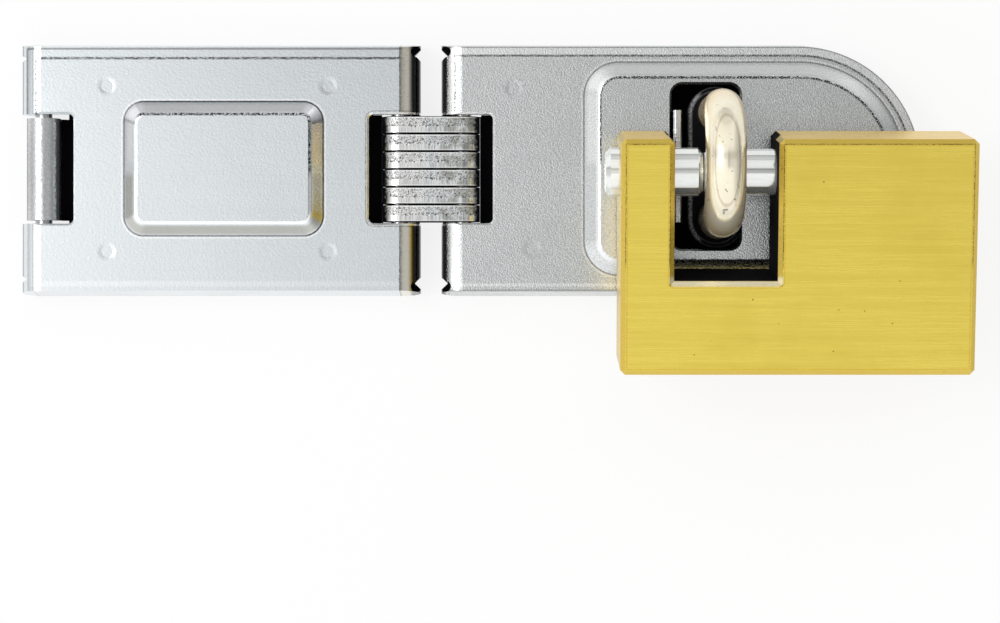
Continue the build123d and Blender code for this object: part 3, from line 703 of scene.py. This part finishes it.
def make_link_steel():
    material, tree, shader = new_material("link_steel")
    cut = use_group(
        tree, PUNCHED_EDGE, First_Edge=LINK_FIRST_Y, Pitch=LINK_PITCH, Thick=LINK_THICK,
        Burnished=LINK_BURNISHED,
    )
    place = place_in_mm(tree)
    x_mm = split(tree, place)[0]
    blotch = noise(tree, place, 0.55, detail=4.0, roughness=0.6)
    light_end = fade(tree, x_mm, *LINK_LIGHT_END)
    dark_end = times(tree, fade(tree, x_mm, *LINK_DARK_END), fade(tree, blotch, 0.40, 0.58))
    color = BURNISHED_LIGHT
    for mask, strength, paint in (
        (cut["Lines"], 0.75, BURNISHED_DARK),
        (cut["Torn"], 0.85, TORN_STEEL),
        (light_end, 0.3, LIGHT_END_STEEL),
        (dark_end, 0.6, DARK_END_STEEL),
        (cut["Pits"], 0.85, PIT_COLOR),
        (cut["Rim"], 0.55, PAINTED_HIGHLIGHT),
    ):
        color = lay_over(tree, times(tree, mask, strength), color, paint)
    # Painted shade in the gaps and over the links' ends, deep in the windows.
    ragged = noise(tree, place, 1.3, detail=3.0, roughness=0.6)
    from_middle = calc(tree, "ABSOLUTE", calc(tree, "SUBTRACT", x_mm, LINK_MIDDLE_X))
    past_end = calc(tree, "SUBTRACT", from_middle, LINK_CLEAN_HALF)
    in_shade = fade(tree, calc(tree, "MULTIPLY_ADD", ragged, 1.6, past_end), 0.7, 1.3)
    painted_shade = most(tree, cut["Gap"], in_shade)
    rough = between(tree, cut["Torn"], BURNISHED_ROUGHNESS, TORN_ROUGHNESS)
    surface = {"Roughness": rough, "Normal": bump(tree, 0.35, PIT_HEIGHT, cut["Height"])}
    join_surface(tree, shader, surface, lay_over(tree, painted_shade, color, PAINTED_BLACK), painted_shade)
    return material


link_steel = make_link_steel()

# %% [markdown]
# ## The brass block
# The padlock leans back against the raised plateau, so its faces aren't in line with the part's
# axes. A Mapping node, moved and turned as the lock is, gives the place in the lock's own axes:
# along the bolt, up its face, and out of it. There the brown lines along the chamfers, the painted
# highlight on the notch's sill, the painted shade in and round the notch and the sawn top are easy
# to place by their sizes. The sawn top and the chamfers are satin beside the brushed front, so
# they are less metallic.

# %% Where the padlock lies, in mm
LOCK_PLACE = (88.5, -1.2, 20.8)
LOCK_LEAN = math.radians(8.27566)
LOCK_LEFT, LOCK_RIGHT, LOCK_TOP, LOCK_BOTTOM, LOCK_HALF_THICK = -17.75, 42.25, 6.3, -33.7, 9.0
NOTCH_HALF, NOTCH_FLOOR, LOCK_CHAMFER = 8.75, -17.7, 0.8
PAST_THE_TOP = LOCK_TOP + 20.0
BROWN, ORANGE = (0.10, 0.045, 0.012, 1), (0.62, 0.30, 0.03, 1)
SILL_HIGHLIGHT, SAWN_BRASS = (0.98, 0.93, 0.72, 1), (0.88, 0.59, 0.085, 1)


def place_on_lock(tree):
    """The surface's place in the padlock's own axes, in millimetres."""
    place = add(
        tree, "ShaderNodeMapping", {"vector_type": "TEXTURE"},
        Vector=add(tree, "ShaderNodeTexCoord").outputs["Object"],
        Location=[value * MM for value in LOCK_PLACE], Rotation=(LOCK_LEAN, 0.0, 0.0),
    ).outputs[0]
    return add(tree, "ShaderNodeVectorMath", {"operation": "SCALE"}, i0=place, Scale=1 / MM).outputs[0]


print("block:", LOCK_RIGHT - LOCK_LEFT, "by", LOCK_TOP - LOCK_BOTTOM, "by", 2 * LOCK_HALF_THICK, "mm")


# %% The brass block's finish
def make_brushed_brass():
    material, tree, shader = new_material("brushed_brass")
    surface = use_group(
        tree, BRUSHED, Light_Color=(0.775, 0.62, 0.115, 1), Dark_Color=(0.69, 0.53, 0.085, 1),
        Streak_Stretch=(0.05, 3.4, 3.4), Streak_Depth=0.16,
        Low_Roughness=0.26, High_Roughness=0.36, Pores=0.7,
    )
    place = place_on_lock(tree)
    _, up, out_of_face = split(tree, place)
    block = outline_of(
        tree, place, LOCK_LEFT, LOCK_RIGHT, (LOCK_TOP - LOCK_BOTTOM) / 2, 0.0, 0.0,
        middle_y=(LOCK_TOP + LOCK_BOTTOM) / 2,
    )
    notch = outline_of(
        tree, place, -NOTCH_HALF, NOTCH_HALF, (PAST_THE_TOP - NOTCH_FLOOR) / 2, 0.0, 0.0,
        middle_y=(PAST_THE_TOP + NOTCH_FLOOR) / 2,
    )
    outward = most(tree, block, times(tree, notch, -1.0))
    front = fade(tree, out_of_face, LOCK_HALF_THICK - 1.2, LOCK_HALF_THICK - 0.8)
    beside_notch = times(tree, front, fade(tree, up, -16.0, -14.0))
    below_notch = times(tree, front, fade(tree, up, -16.5, -17.5))
    notch_sill = times(tree, below_notch, fade(tree, notch, 1.3, 1.0))
    at_rim = times(tree, fade(tree, outward, -LOCK_CHAMFER - 0.05, -LOCK_CHAMFER + 0.15), 0.25)
    color = lay_over(tree, at_rim, surface["Color"], ORANGE)
    color = scribe(
        tree, color, outward,
        (-LOCK_CHAMFER, 0.10, 0.03, 0.85, BROWN, 0.85, beside_notch),
        (-LOCK_CHAMFER - 0.25, 0.10, 0.03, 0.5, ORANGE, 0.5, front),
    )
    # A painted highlight on the notch's lower chamfer.
    color = scribe(tree, color, notch, (LOCK_CHAMFER / 2, 0.45, 0.02, 0.1, SILL_HIGHLIGHT, 0.8, notch_sill))
    on_top = fade(tree, up, LOCK_TOP - 0.12, LOCK_TOP - 0.04)
    sawn = times(tree, on_top, fade(tree, out_of_face, 8.2, 7.9))
    color = lay_over(tree, sawn, color, SAWN_BRASS)
    # Painted shade on the notch's walls, behind the notch, and on the back face round the notch.
    in_notch = times(tree, fade(tree, notch, 0.10, 0.02), fade(tree, out_of_face, 8.15, 7.7))
    behind = times(tree, fade(tree, notch, 1.1, 0.9), fade(tree, out_of_face, 1.0, 0.0))
    back_shade = times(tree, fade(tree, notch, 3.0, 1.6), fade(tree, out_of_face, -8.4, -8.8))
    painted_shade = most(tree, most(tree, in_notch, behind), back_shade)
    join_surface(tree, shader, surface, lay_over(tree, painted_shade, color, PAINTED_BLACK), painted_shade)
    on_chamfer = times(tree, fade(tree, outward, -LOCK_CHAMFER, -LOCK_CHAMFER + 0.1), front)
    satin = calc(tree, "MULTIPLY_ADD", sawn, 0.65, times(tree, on_chamfer, 0.35))
    metallic = calc(tree, "SUBTRACT", 1.0, satin, clamp=True)
    tree.links.new(metallic, shader.inputs["Metallic"])
    return material


brushed_brass = make_brushed_brass()

# %% [markdown]
# ## The nickel eye
# The forged eye is plated and polished, with a few stains. On the real one the sides are warm
# with the brass beside them. Reflections could be left to show that, but a painted reflection, a
# warm tint that follows how far the surface faces up, makes sure of it at every pose, and a thin
# painted brown band lies where the surface faces up at 0.8. The eye stands in the slot, so
# painted shade darkens it towards its foot. Two thin grey lines ring the foot, with a painted
# highlight along its left side.

# %% The eye's finish
FOOT, FOOT_MIDDLE_Y = (83.25, 93.35, 14.2, 5.05, 5.05), 0.3
EYE_DARK, FOOT_LEVEL, FOOT_LEFT_SIDE = (16.0, 10.0), (9.0, 8.0), (86.0, 85.0)
STAIN, WARM_SIDE, REFLECTED_BAND = (0.10, 0.08, 0.06, 1), (0.82, 0.60, 0.28, 1), (0.45, 0.33, 0.18, 1)
WARM_STRENGTH = 0.6


def make_polished_nickel():
    material, tree, shader = new_material("polished_nickel")
    surface = use_group(
        tree, SHEET_GRAIN, Light_Color=(0.94, 0.88, 0.72, 1), Dull_Color=(0.88, 0.80, 0.60, 1),
        Grain_Size=1.4, Grain_Depth=0.02, Speckle=0.3, Streaks=0.0,
        Smooth_Roughness=0.15, Dull_Roughness=0.24,
    )
    place = place_in_mm(tree)
    x_mm, _, height = split(tree, place)
    upward = facing_up(tree)
    blots = noise(tree, place, 0.9, distortion=0.8)
    stains = times(tree, fade(tree, blots, 0.66, 0.72), 0.7)
    color = lay_over(tree, stains, surface["Color"], STAIN)
    # Painted reflection: the sides are tinted warm, as by the brass beside them.
    color = lay_over(tree, fade(tree, upward, 0.62, 0.20, 0.0, WARM_STRENGTH), color, WARM_SIDE)
    # Painted reflection: a thin brown band where the surface faces up at 0.8.
    color = scribe(tree, color, upward, (0.80, 0.02, 0.005, 0.3, REFLECTED_BAND, 0.45))
    # Painted shade: darker towards the foot, where the eye stands in the slot.
    painted_shade = fade(tree, height, *EYE_DARK)
    color = lay_over(tree, painted_shade, color, PAINTED_BLACK)
    foot = outline_of(tree, place, *FOOT, middle_y=FOOT_MIDDLE_Y)
    low = fade(tree, height, *FOOT_LEVEL)
    left_side = times(tree, low, fade(tree, x_mm, *FOOT_LEFT_SIDE))
    # Two grey lines round the foot, and a painted highlight along its left side.
    color = scribe(
        tree, color, foot,
        (-0.18, 0.12, 0.05, 0.6, GREY_LINE, 0.9, low),
        (-0.85, 0.10, 0.05, 0.6, GREY_LINE, 0.9, low),
        (-0.50, 0.28, 0.10, 0.8, PAINTED_HIGHLIGHT, 0.6, left_side),
    )
    join_surface(tree, shader, surface, color, painted_shade, metallic=0.6)
    return material


polished_nickel = make_polished_nickel()

# %% [markdown]
# ## Pins, bolt, plug and springs
# The small pieces are turned, ground or drawn, so each is one brushed surface. They differ only
# in colour, in which way the streaks run, in their depth and in how rough they are, so one
# function makes them all. The bolt and the stub are chromed: almost smooth, and less metallic,
# so that they look white.

# %% Turned and drawn finishes
ROUND_THE_PIN, ALONG_THE_BOLT = (3.0, 0.1, 3.0), (0.1, 2.0, 2.0)
ALONG_THE_PLUG, EVERY_WAY = (3.0, 0.2, 3.0), (2.0, 2.0, 2.0)


def brushed_finish(name, light, dark, run, depth, roughness, metallic=1.0):
    """A brushed metal from two colours, the run and depth of its streaks, and its roughness range."""
    material, tree, shader = new_material(name)
    surface = use_group(
        tree, BRUSHED, Light_Color=(*light, 1), Dark_Color=(*dark, 1), Streak_Stretch=run,
        Streak_Depth=depth, Low_Roughness=roughness[0], High_Roughness=roughness[1],
    )
    join_surface(tree, shader, surface, metallic=metallic)
    return material


pin_steel = brushed_finish(
    "pin_steel", (0.60, 0.60, 0.61), (0.42, 0.42, 0.43), ROUND_THE_PIN, 0.1, (0.2, 0.35),
)
bright_chrome = brushed_finish(
    "bright_chrome", (0.92, 0.94, 0.92), (0.84, 0.86, 0.84), ALONG_THE_BOLT, 0.03, (0.09, 0.16),
    metallic=0.75,
)
plug_brass = brushed_finish(
    "plug_brass", (0.70, 0.50, 0.13), (0.55, 0.38, 0.09), ALONG_THE_PLUG, 0.1, (0.2, 0.35),
)
spring_wire = brushed_finish(
    "spring_wire", (0.40, 0.40, 0.42), (0.25, 0.25, 0.26), EVERY_WAY, 0.05, (0.25, 0.4),
)

# %% [markdown]
# ## Which piece has which finish
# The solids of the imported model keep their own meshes, and only their materials are exchanged.
# A finish could be given where it is made, but one table by name is easy to check against the
# list of pieces. What it doesn't name is one of the six hinge links.

# %% Place the finishes
PIECES_WITH = [
    (cover_zinc, ["cover_leaf"]),
    (slotted_zinc, ["slotted_leaf"]),
    (base_zinc, ["base_plate"]),
    (liner_zinc, ["cover_leaf_liner", "slotted_leaf_liner"]),
    (plate_zinc, ["staple_plate"]),
    (pin_steel, ["base_hinge_pin", "link_pin_left", "link_pin_right"]),
    (pin_steel, ["bolt_stop_pin", "plug_retainer", "locking_dog"]),
    (polished_nickel, ["staple_eye"]),
    (bright_chrome, ["ear_stub", "locking_bolt"]),
    (brushed_brass, ["padlock_body"]),
    (plug_brass, ["cylinder_plug", "key_pins", "driver_pins", "chamber_plugs"]),
    (spring_wire, ["bolt_spring", "pin_springs", "dog_spring"]),
]
FINISH_OF = {name: finish for finish, names in PIECES_WITH for name in names}
for name, piece in nodes.items():
    for piece_slot in piece.material_slots:
        piece_slot.material = FINISH_OF.get(name, link_steel)
print("finishes placed on", len(nodes), "nodes,", len(FINISH_OF), "of them by name")

# %% [markdown]
# ## Spot weld marks
# The liners are welded under the leaves, and each weld leaves a shallow round mark on top. Bump
# could fake it from above, but from low down a mark has to stand up, so it is modelled: a filled
# circle, raised by an extrude, with two insets that give it a rounded rim and a sunk middle. It
# is modelled once and copied, each copy with its own mesh. The copies are moved in edit mode, so
# that every object stays at the origin.

# %% Model one weld mark
WELD_RADIUS, WELD_SIDES = 1.85 * MM, 40
WELD_PROUD = 0.04 * MM
RIM_WIDTH, DISH_SLOPE = 0.45 * MM, 0.50 * MM
DISH_DEPTH = 1.2 * WELD_PROUD
ROUNDED_UNDER = math.radians(50)
LEAF_TOP = 7.5 * MM

bpy.ops.mesh.primitive_circle_add(
    vertices=WELD_SIDES, radius=WELD_RADIUS, fill_type="NGON", location=(0, 0, LEAF_TOP - WELD_PROUD),
)
weld_pattern = bpy.context.active_object
bpy.ops.object.transform_apply(location=True, rotation=True, scale=True)
bpy.ops.object.mode_set(mode="EDIT")
bpy.ops.mesh.select_all(action="SELECT")
bpy.ops.mesh.extrude_region_move(TRANSFORM_OT_translate={"value": (0, 0, 2 * WELD_PROUD)})
bpy.ops.mesh.inset(thickness=RIM_WIDTH)
bpy.ops.mesh.inset(thickness=DISH_SLOPE)
bpy.ops.transform.translate(value=(0, 0, -DISH_DEPTH))
bpy.ops.mesh.select_all(action="SELECT")
bpy.ops.mesh.normals_make_consistent(inside=False)
bpy.ops.object.mode_set(mode="OBJECT")
bpy.ops.object.shade_smooth_by_angle(angle=ROUNDED_UNDER)
print("weld mark:", len(weld_pattern.data.polygons), "faces")

# %% Copy it to each weld
COVER_WELDS = [(-18.4, 14.5), (-18.4, -14.5), (20.3, 14.5), (20.3, -14.5)]
SLOTTED_WELDS = [(52.8, 14.1), (56.0, -14.0)]


def copy_to_move(piece, name):
    """Copy a piece with its mesh, and leave the copy in edit mode with all of it selected."""
    bpy.ops.object.select_all(action="DESELECT")
    piece.select_set(True)
    bpy.context.view_layer.objects.active = piece
    bpy.ops.object.duplicate(linked=False)
    twin = bpy.context.active_object
    twin.name = name
    bpy.ops.object.mode_set(mode="EDIT")
    bpy.ops.mesh.select_all(action="SELECT")
    return twin


for body, finish, welds in (("cover", cover_zinc, COVER_WELDS), ("leaf", weld_zinc, SLOTTED_WELDS)):
    for number, (x, y) in enumerate(welds, 1):
        mark = copy_to_move(weld_pattern, f"{body}_weld_{number}")
        bpy.ops.transform.translate(value=(x * MM, y * MM, 0))
        bpy.ops.object.mode_set(mode="OBJECT")
        mark.data.materials.append(finish)
        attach(mark, body)
        print(mark.name, "at", x, y, "mm")
bpy.ops.object.select_all(action="DESELECT")
weld_pattern.select_set(True)
bpy.ops.object.delete()

# %% [markdown]
# ## Shade lips under the hinge windows
# Light would show through the thin slits round the links, where the real hasp lies in deep shade.
# So each window gets a low black lip just above the door, which stands in for that shade: a plane
# as large as the window's opening, inset, with its middle and its open side deleted, so that a U
# is left. The U is extruded to its height. Its two ends are then spun round the hinge pin, so that
# they climb inside the curled sheet, beside the links and clear of them. The other lip is a
# mirrored copy, as the windows face each other.

# %% The lips' painted black
shade_lip_black, tree, shader = new_material("shade_lip_black")
# Near black, for the painted shade that the lips stand for.
speckle = noise(tree, place_in_mm(tree), 3.0)
shade_lip_color = lay_over(tree, speckle, (0.006, 0.006, 0.007, 1), (0.02, 0.018, 0.016, 1))
tree.links.new(shade_lip_color, shader.inputs["Base Color"])
shader.inputs["Roughness"].default_value = SHADE_ROUGHNESS

# %% Model the cover leaf's lip
LIP_REACH = (29.444 * MM, 32.7 * MM)
LIP_HALF = 9.54 * MM
LIP_WALL = 0.25 * MM
LIP_LOW, LIP_HIGH = 0.08 * MM, 0.36 * MM
LIP_CLIMB, LIP_STEPS = math.radians(78), 10
PIN_HEIGHT = 3.75 * MM


def select_faces_past(piece, x):
    """In edit mode, select the faces whose middle lies past x, and nothing else."""
    bpy.ops.mesh.select_all(action="DESELECT")
    bpy.ops.object.mode_set(mode="OBJECT")
    for face in piece.data.polygons:
        face.select = face.center.x > x
    bpy.ops.object.mode_set(mode="EDIT")


def model_shade_lip(name):
    """A U-shaped lip round the cover leaf's window, open towards the other leaf."""
    near, far = LIP_REACH
    bpy.ops.object.select_all(action="DESELECT")
    bpy.ops.mesh.primitive_plane_add(size=1.0, location=((near + far) / 2, 0.0, LIP_LOW))
    lip = bpy.context.active_object
    lip.name = name
    lip.scale = (far - near, 2 * LIP_HALF, 1.0)
    bpy.ops.object.transform_apply(location=True, rotation=True, scale=True)
    bpy.ops.object.mode_set(mode="EDIT")
    bpy.ops.mesh.select_mode(type="FACE")
    bpy.ops.mesh.select_all(action="SELECT")
    bpy.ops.mesh.inset(thickness=LIP_WALL)
    bpy.ops.mesh.delete(type="FACE")
    select_faces_past(lip, far - LIP_WALL)
    bpy.ops.mesh.delete(type="FACE")
    bpy.ops.mesh.select_all(action="SELECT")
    bpy.ops.mesh.extrude_region_move(TRANSFORM_OT_translate={"value": (0, 0, LIP_HIGH - LIP_LOW)})
    select_faces_past(lip, far - LIP_WALL)
    pin_middle = (far, 0.0, PIN_HEIGHT)
    bpy.ops.mesh.spin(steps=LIP_STEPS, angle=LIP_CLIMB, center=pin_middle, axis=(0.0, 1.0, 0.0))
    bpy.ops.mesh.select_all(action="SELECT")
    bpy.ops.mesh.normals_make_consistent(inside=False)
    bpy.ops.object.mode_set(mode="OBJECT")
    return lip


cover_lip = model_shade_lip("cover_shade_lip")
print("lip:", len(cover_lip.data.polygons), "faces")

# %% Mirror a copy for the slotted leaf
hinge_middle = (LINK_MIDDLE_X * MM, 0, 0)
leaf_lip = copy_to_move(cover_lip, "leaf_shade_lip")
bpy.ops.transform.mirror(constraint_axis=(True, False, False), center_override=hinge_middle)
bpy.ops.mesh.normals_make_consistent(inside=False)
bpy.ops.object.mode_set(mode="OBJECT")

for lip, body in ((cover_lip, "cover"), (leaf_lip, "leaf")):
    lip.data.materials.append(shade_lip_black)
    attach(lip, body)
    for axis, letter in enumerate("xyz"):
        reach = [v.co[axis] / MM for v in lip.data.vertices]
        print(lip.name, letter, "from", round(min(reach), 2), "to", round(max(reach), 2), "mm")

# %% [markdown]
# ## The table
# The photograph is a flat-lay: the camera looks straight down on a white table. Light alone
# leaves a white plane a little grey, and a plane that only glows holds no shadow. So most of
# what the camera sees of this one is an even glow, as in a catalogue, and the rest takes light
# as any surface does and keeps a weak shadow.

# %% The table
PX_PER_MM = 5.63
VIEW_X = 50.4 * MM
VIEW_Y = -25.0 * MM
VIEW_HEIGHT = 520.0 * MM
TABLE_SIZE = 4.0
GLOW_SHARE = 0.82

bpy.ops.mesh.primitive_plane_add(size=TABLE_SIZE, location=(VIEW_X, VIEW_Y, 0.0))
table = bpy.context.active_object
table.name = "table"
table_white, tree, shader = new_material("table_white")
shader.inputs["Base Color"].default_value = (0.93, 0.93, 0.93, 1)
shader.inputs["Roughness"].default_value = 0.8
rays = add(tree, "ShaderNodeLightPath").outputs
seen = most(tree, rays["Is Camera Ray"], rays["Is Glossy Ray"])
seen = most(tree, seen, rays["Is Transmission Ray"])
glow = add(tree, "ShaderNodeEmission", Color=(1, 1, 1, 1), Strength=1.0)
glowing = times(tree, seen, GLOW_SHARE)
blend = add(tree, "ShaderNodeMixShader", i0=glowing, i1=shader.outputs[0], i2=glow.outputs[0])
tree.links.new(blend.outputs[0], tree.nodes["Material Output"].inputs["Surface"])
table.data.materials.append(table_white)
print("table:", TABLE_SIZE, "m square")

# %% [markdown]
# ## The sky
# Polished metal shows what is around it, so the sky is shaped as a studio is: white cards to the
# left and below, a grey wall and dark stands to the right and the top. Real cards would be many
# planes to place and to keep out of the picture, and curves in the sky do the same. Its level is
# one curve from left to right, times another from below to above. Along the lower and upper
# sides a long card takes the place of the first curve, and the sky dims towards the horizon.

# %% The sky
LEFT_TO_RIGHT = [
    (-1.0, 0.70), (-0.85, 0.90), (-0.72, 1.12), (-0.30, 1.15), (-0.16, 0.96), (-0.075, 0.91),
    (-0.055, 0.68), (-0.04, 0.62), (-0.02, 0.71), (0.02, 0.71), (0.05, 0.72), (0.09, 0.37),
    (0.13, 0.25), (0.17, 0.22), (0.24, 0.20), (0.33, 0.52), (0.75, 0.55), (0.9, 0.30), (1.0, 0.10),
]
BELOW_TO_ABOVE = [
    (-1.0, 0.90), (-0.90, 1.10), (-0.24, 1.16), (-0.05, 1.08), (0.05, 1.0), (0.085, 1.08),
    (0.11, 1.05), (0.135, 0.45), (0.19, 0.40), (0.25, 1.0), (0.60, 1.05), (0.83, 1.0),
    (0.87, 0.50), (0.91, 0.75), (1.0, 0.50),
]
LOWER_CARD, UPPER_CARD, CARDS_RIGHT_END = (-0.10, -0.24), (0.22, 0.34), (0.75, 0.55)
CARD_LEVEL = 0.95
HORIZON, HORIZON_LEVEL = (0.0, 0.12), 0.6

world = bpy.data.worlds.new("studio")
bpy.context.scene.world = world
world.use_nodes = True
sky = world.node_tree


def sky_curve(value, stops):
    """Read a level from a list of (direction, level) stops."""
    at = add(sky, "ShaderNodeMapRange", Value=value, From_Min=-1.0, From_Max=1.0).outputs[0]
    ramp = add(sky, "ShaderNodeValToRGB", Fac=at)
    colors = ramp.color_ramp
    while len(colors.elements) < len(stops):
        colors.elements.new(0.5)
    for element, (where, level) in zip(colors.elements, stops):
        element.position = (where + 1) / 2
        element.color = (level, level, level, 1)
    return ramp.outputs["Color"]


rightward, backward, skyward = split(sky, add(sky, "ShaderNodeTexCoord").outputs["Generated"])
across = sky_curve(rightward, LEFT_TO_RIGHT)
along = sky_curve(backward, BELOW_TO_ABOVE)
cards = most(sky, fade(sky, backward, *LOWER_CARD), fade(sky, backward, *UPPER_CARD))
cards = times(sky, cards, fade(sky, rightward, *CARDS_RIGHT_END))
level = times(sky, between(sky, cards, across, CARD_LEVEL), along)
level = times(sky, level, fade(sky, skyward, *HORIZON, HORIZON_LEVEL, 1.0))
sky.links.new(level, sky.nodes["Background"].inputs["Color"])
sky.nodes["Background"].inputs["Strength"].default_value = 1.0
print("sky:", len(LEFT_TO_RIGHT), "stops from left to right and", len(BELOW_TO_ABOVE), "upwards")

# %% [markdown]
# ## The key softbox
# The sky comes from all sides and casts hardly any shadow. One square softbox at the left shades
# the folds and edges, as in a studio. A sun lamp would do so too, but with hard shadows.

# %% The key softbox
KEY_PLACE = Vector((-0.35, 0.10, 0.60))
KEY_TARGET = Vector((VIEW_X, 0.0, 0.0))
KEY_SIZE, KEY_POWER = 0.30, 1.2

bpy.ops.object.light_add(type="AREA", location=KEY_PLACE)
key = bpy.context.active_object
key.name = "key_softbox"
key.data.size = KEY_SIZE
key.data.energy = KEY_POWER
key.rotation_euler = (KEY_TARGET - KEY_PLACE).to_track_quat("-Z", "Y").to_euler()
print("softbox:", round((KEY_TARGET - KEY_PLACE).length, 2), "m away")

# %% [markdown]
# ## The camera
# It hangs straight above the table, as for any flat-lay. From higher up the padlock would come
# out small beside the hasp, and from lower down too large, so its height is where both have
# their photographed size. The lens could be set by eye, but it follows from the height and from
# how many pixels a millimetre takes up at the door plane.

# %% The camera
PICTURE_WIDTH = 1000
SENSOR = 36.0

frame_width = PICTURE_WIDTH / PX_PER_MM * MM
bpy.ops.object.camera_add(location=(VIEW_X, VIEW_Y, VIEW_HEIGHT), rotation=(0, 0, 0))
camera = bpy.context.active_object
camera.data.sensor_width = SENSOR
camera.data.lens = SENSOR * VIEW_HEIGHT / frame_width
camera.data.clip_start = 0.01
bpy.context.scene.camera = camera
bpy.context.scene.view_settings.view_transform = "Standard"
print("lens:", round(camera.data.lens, 1), "mm")
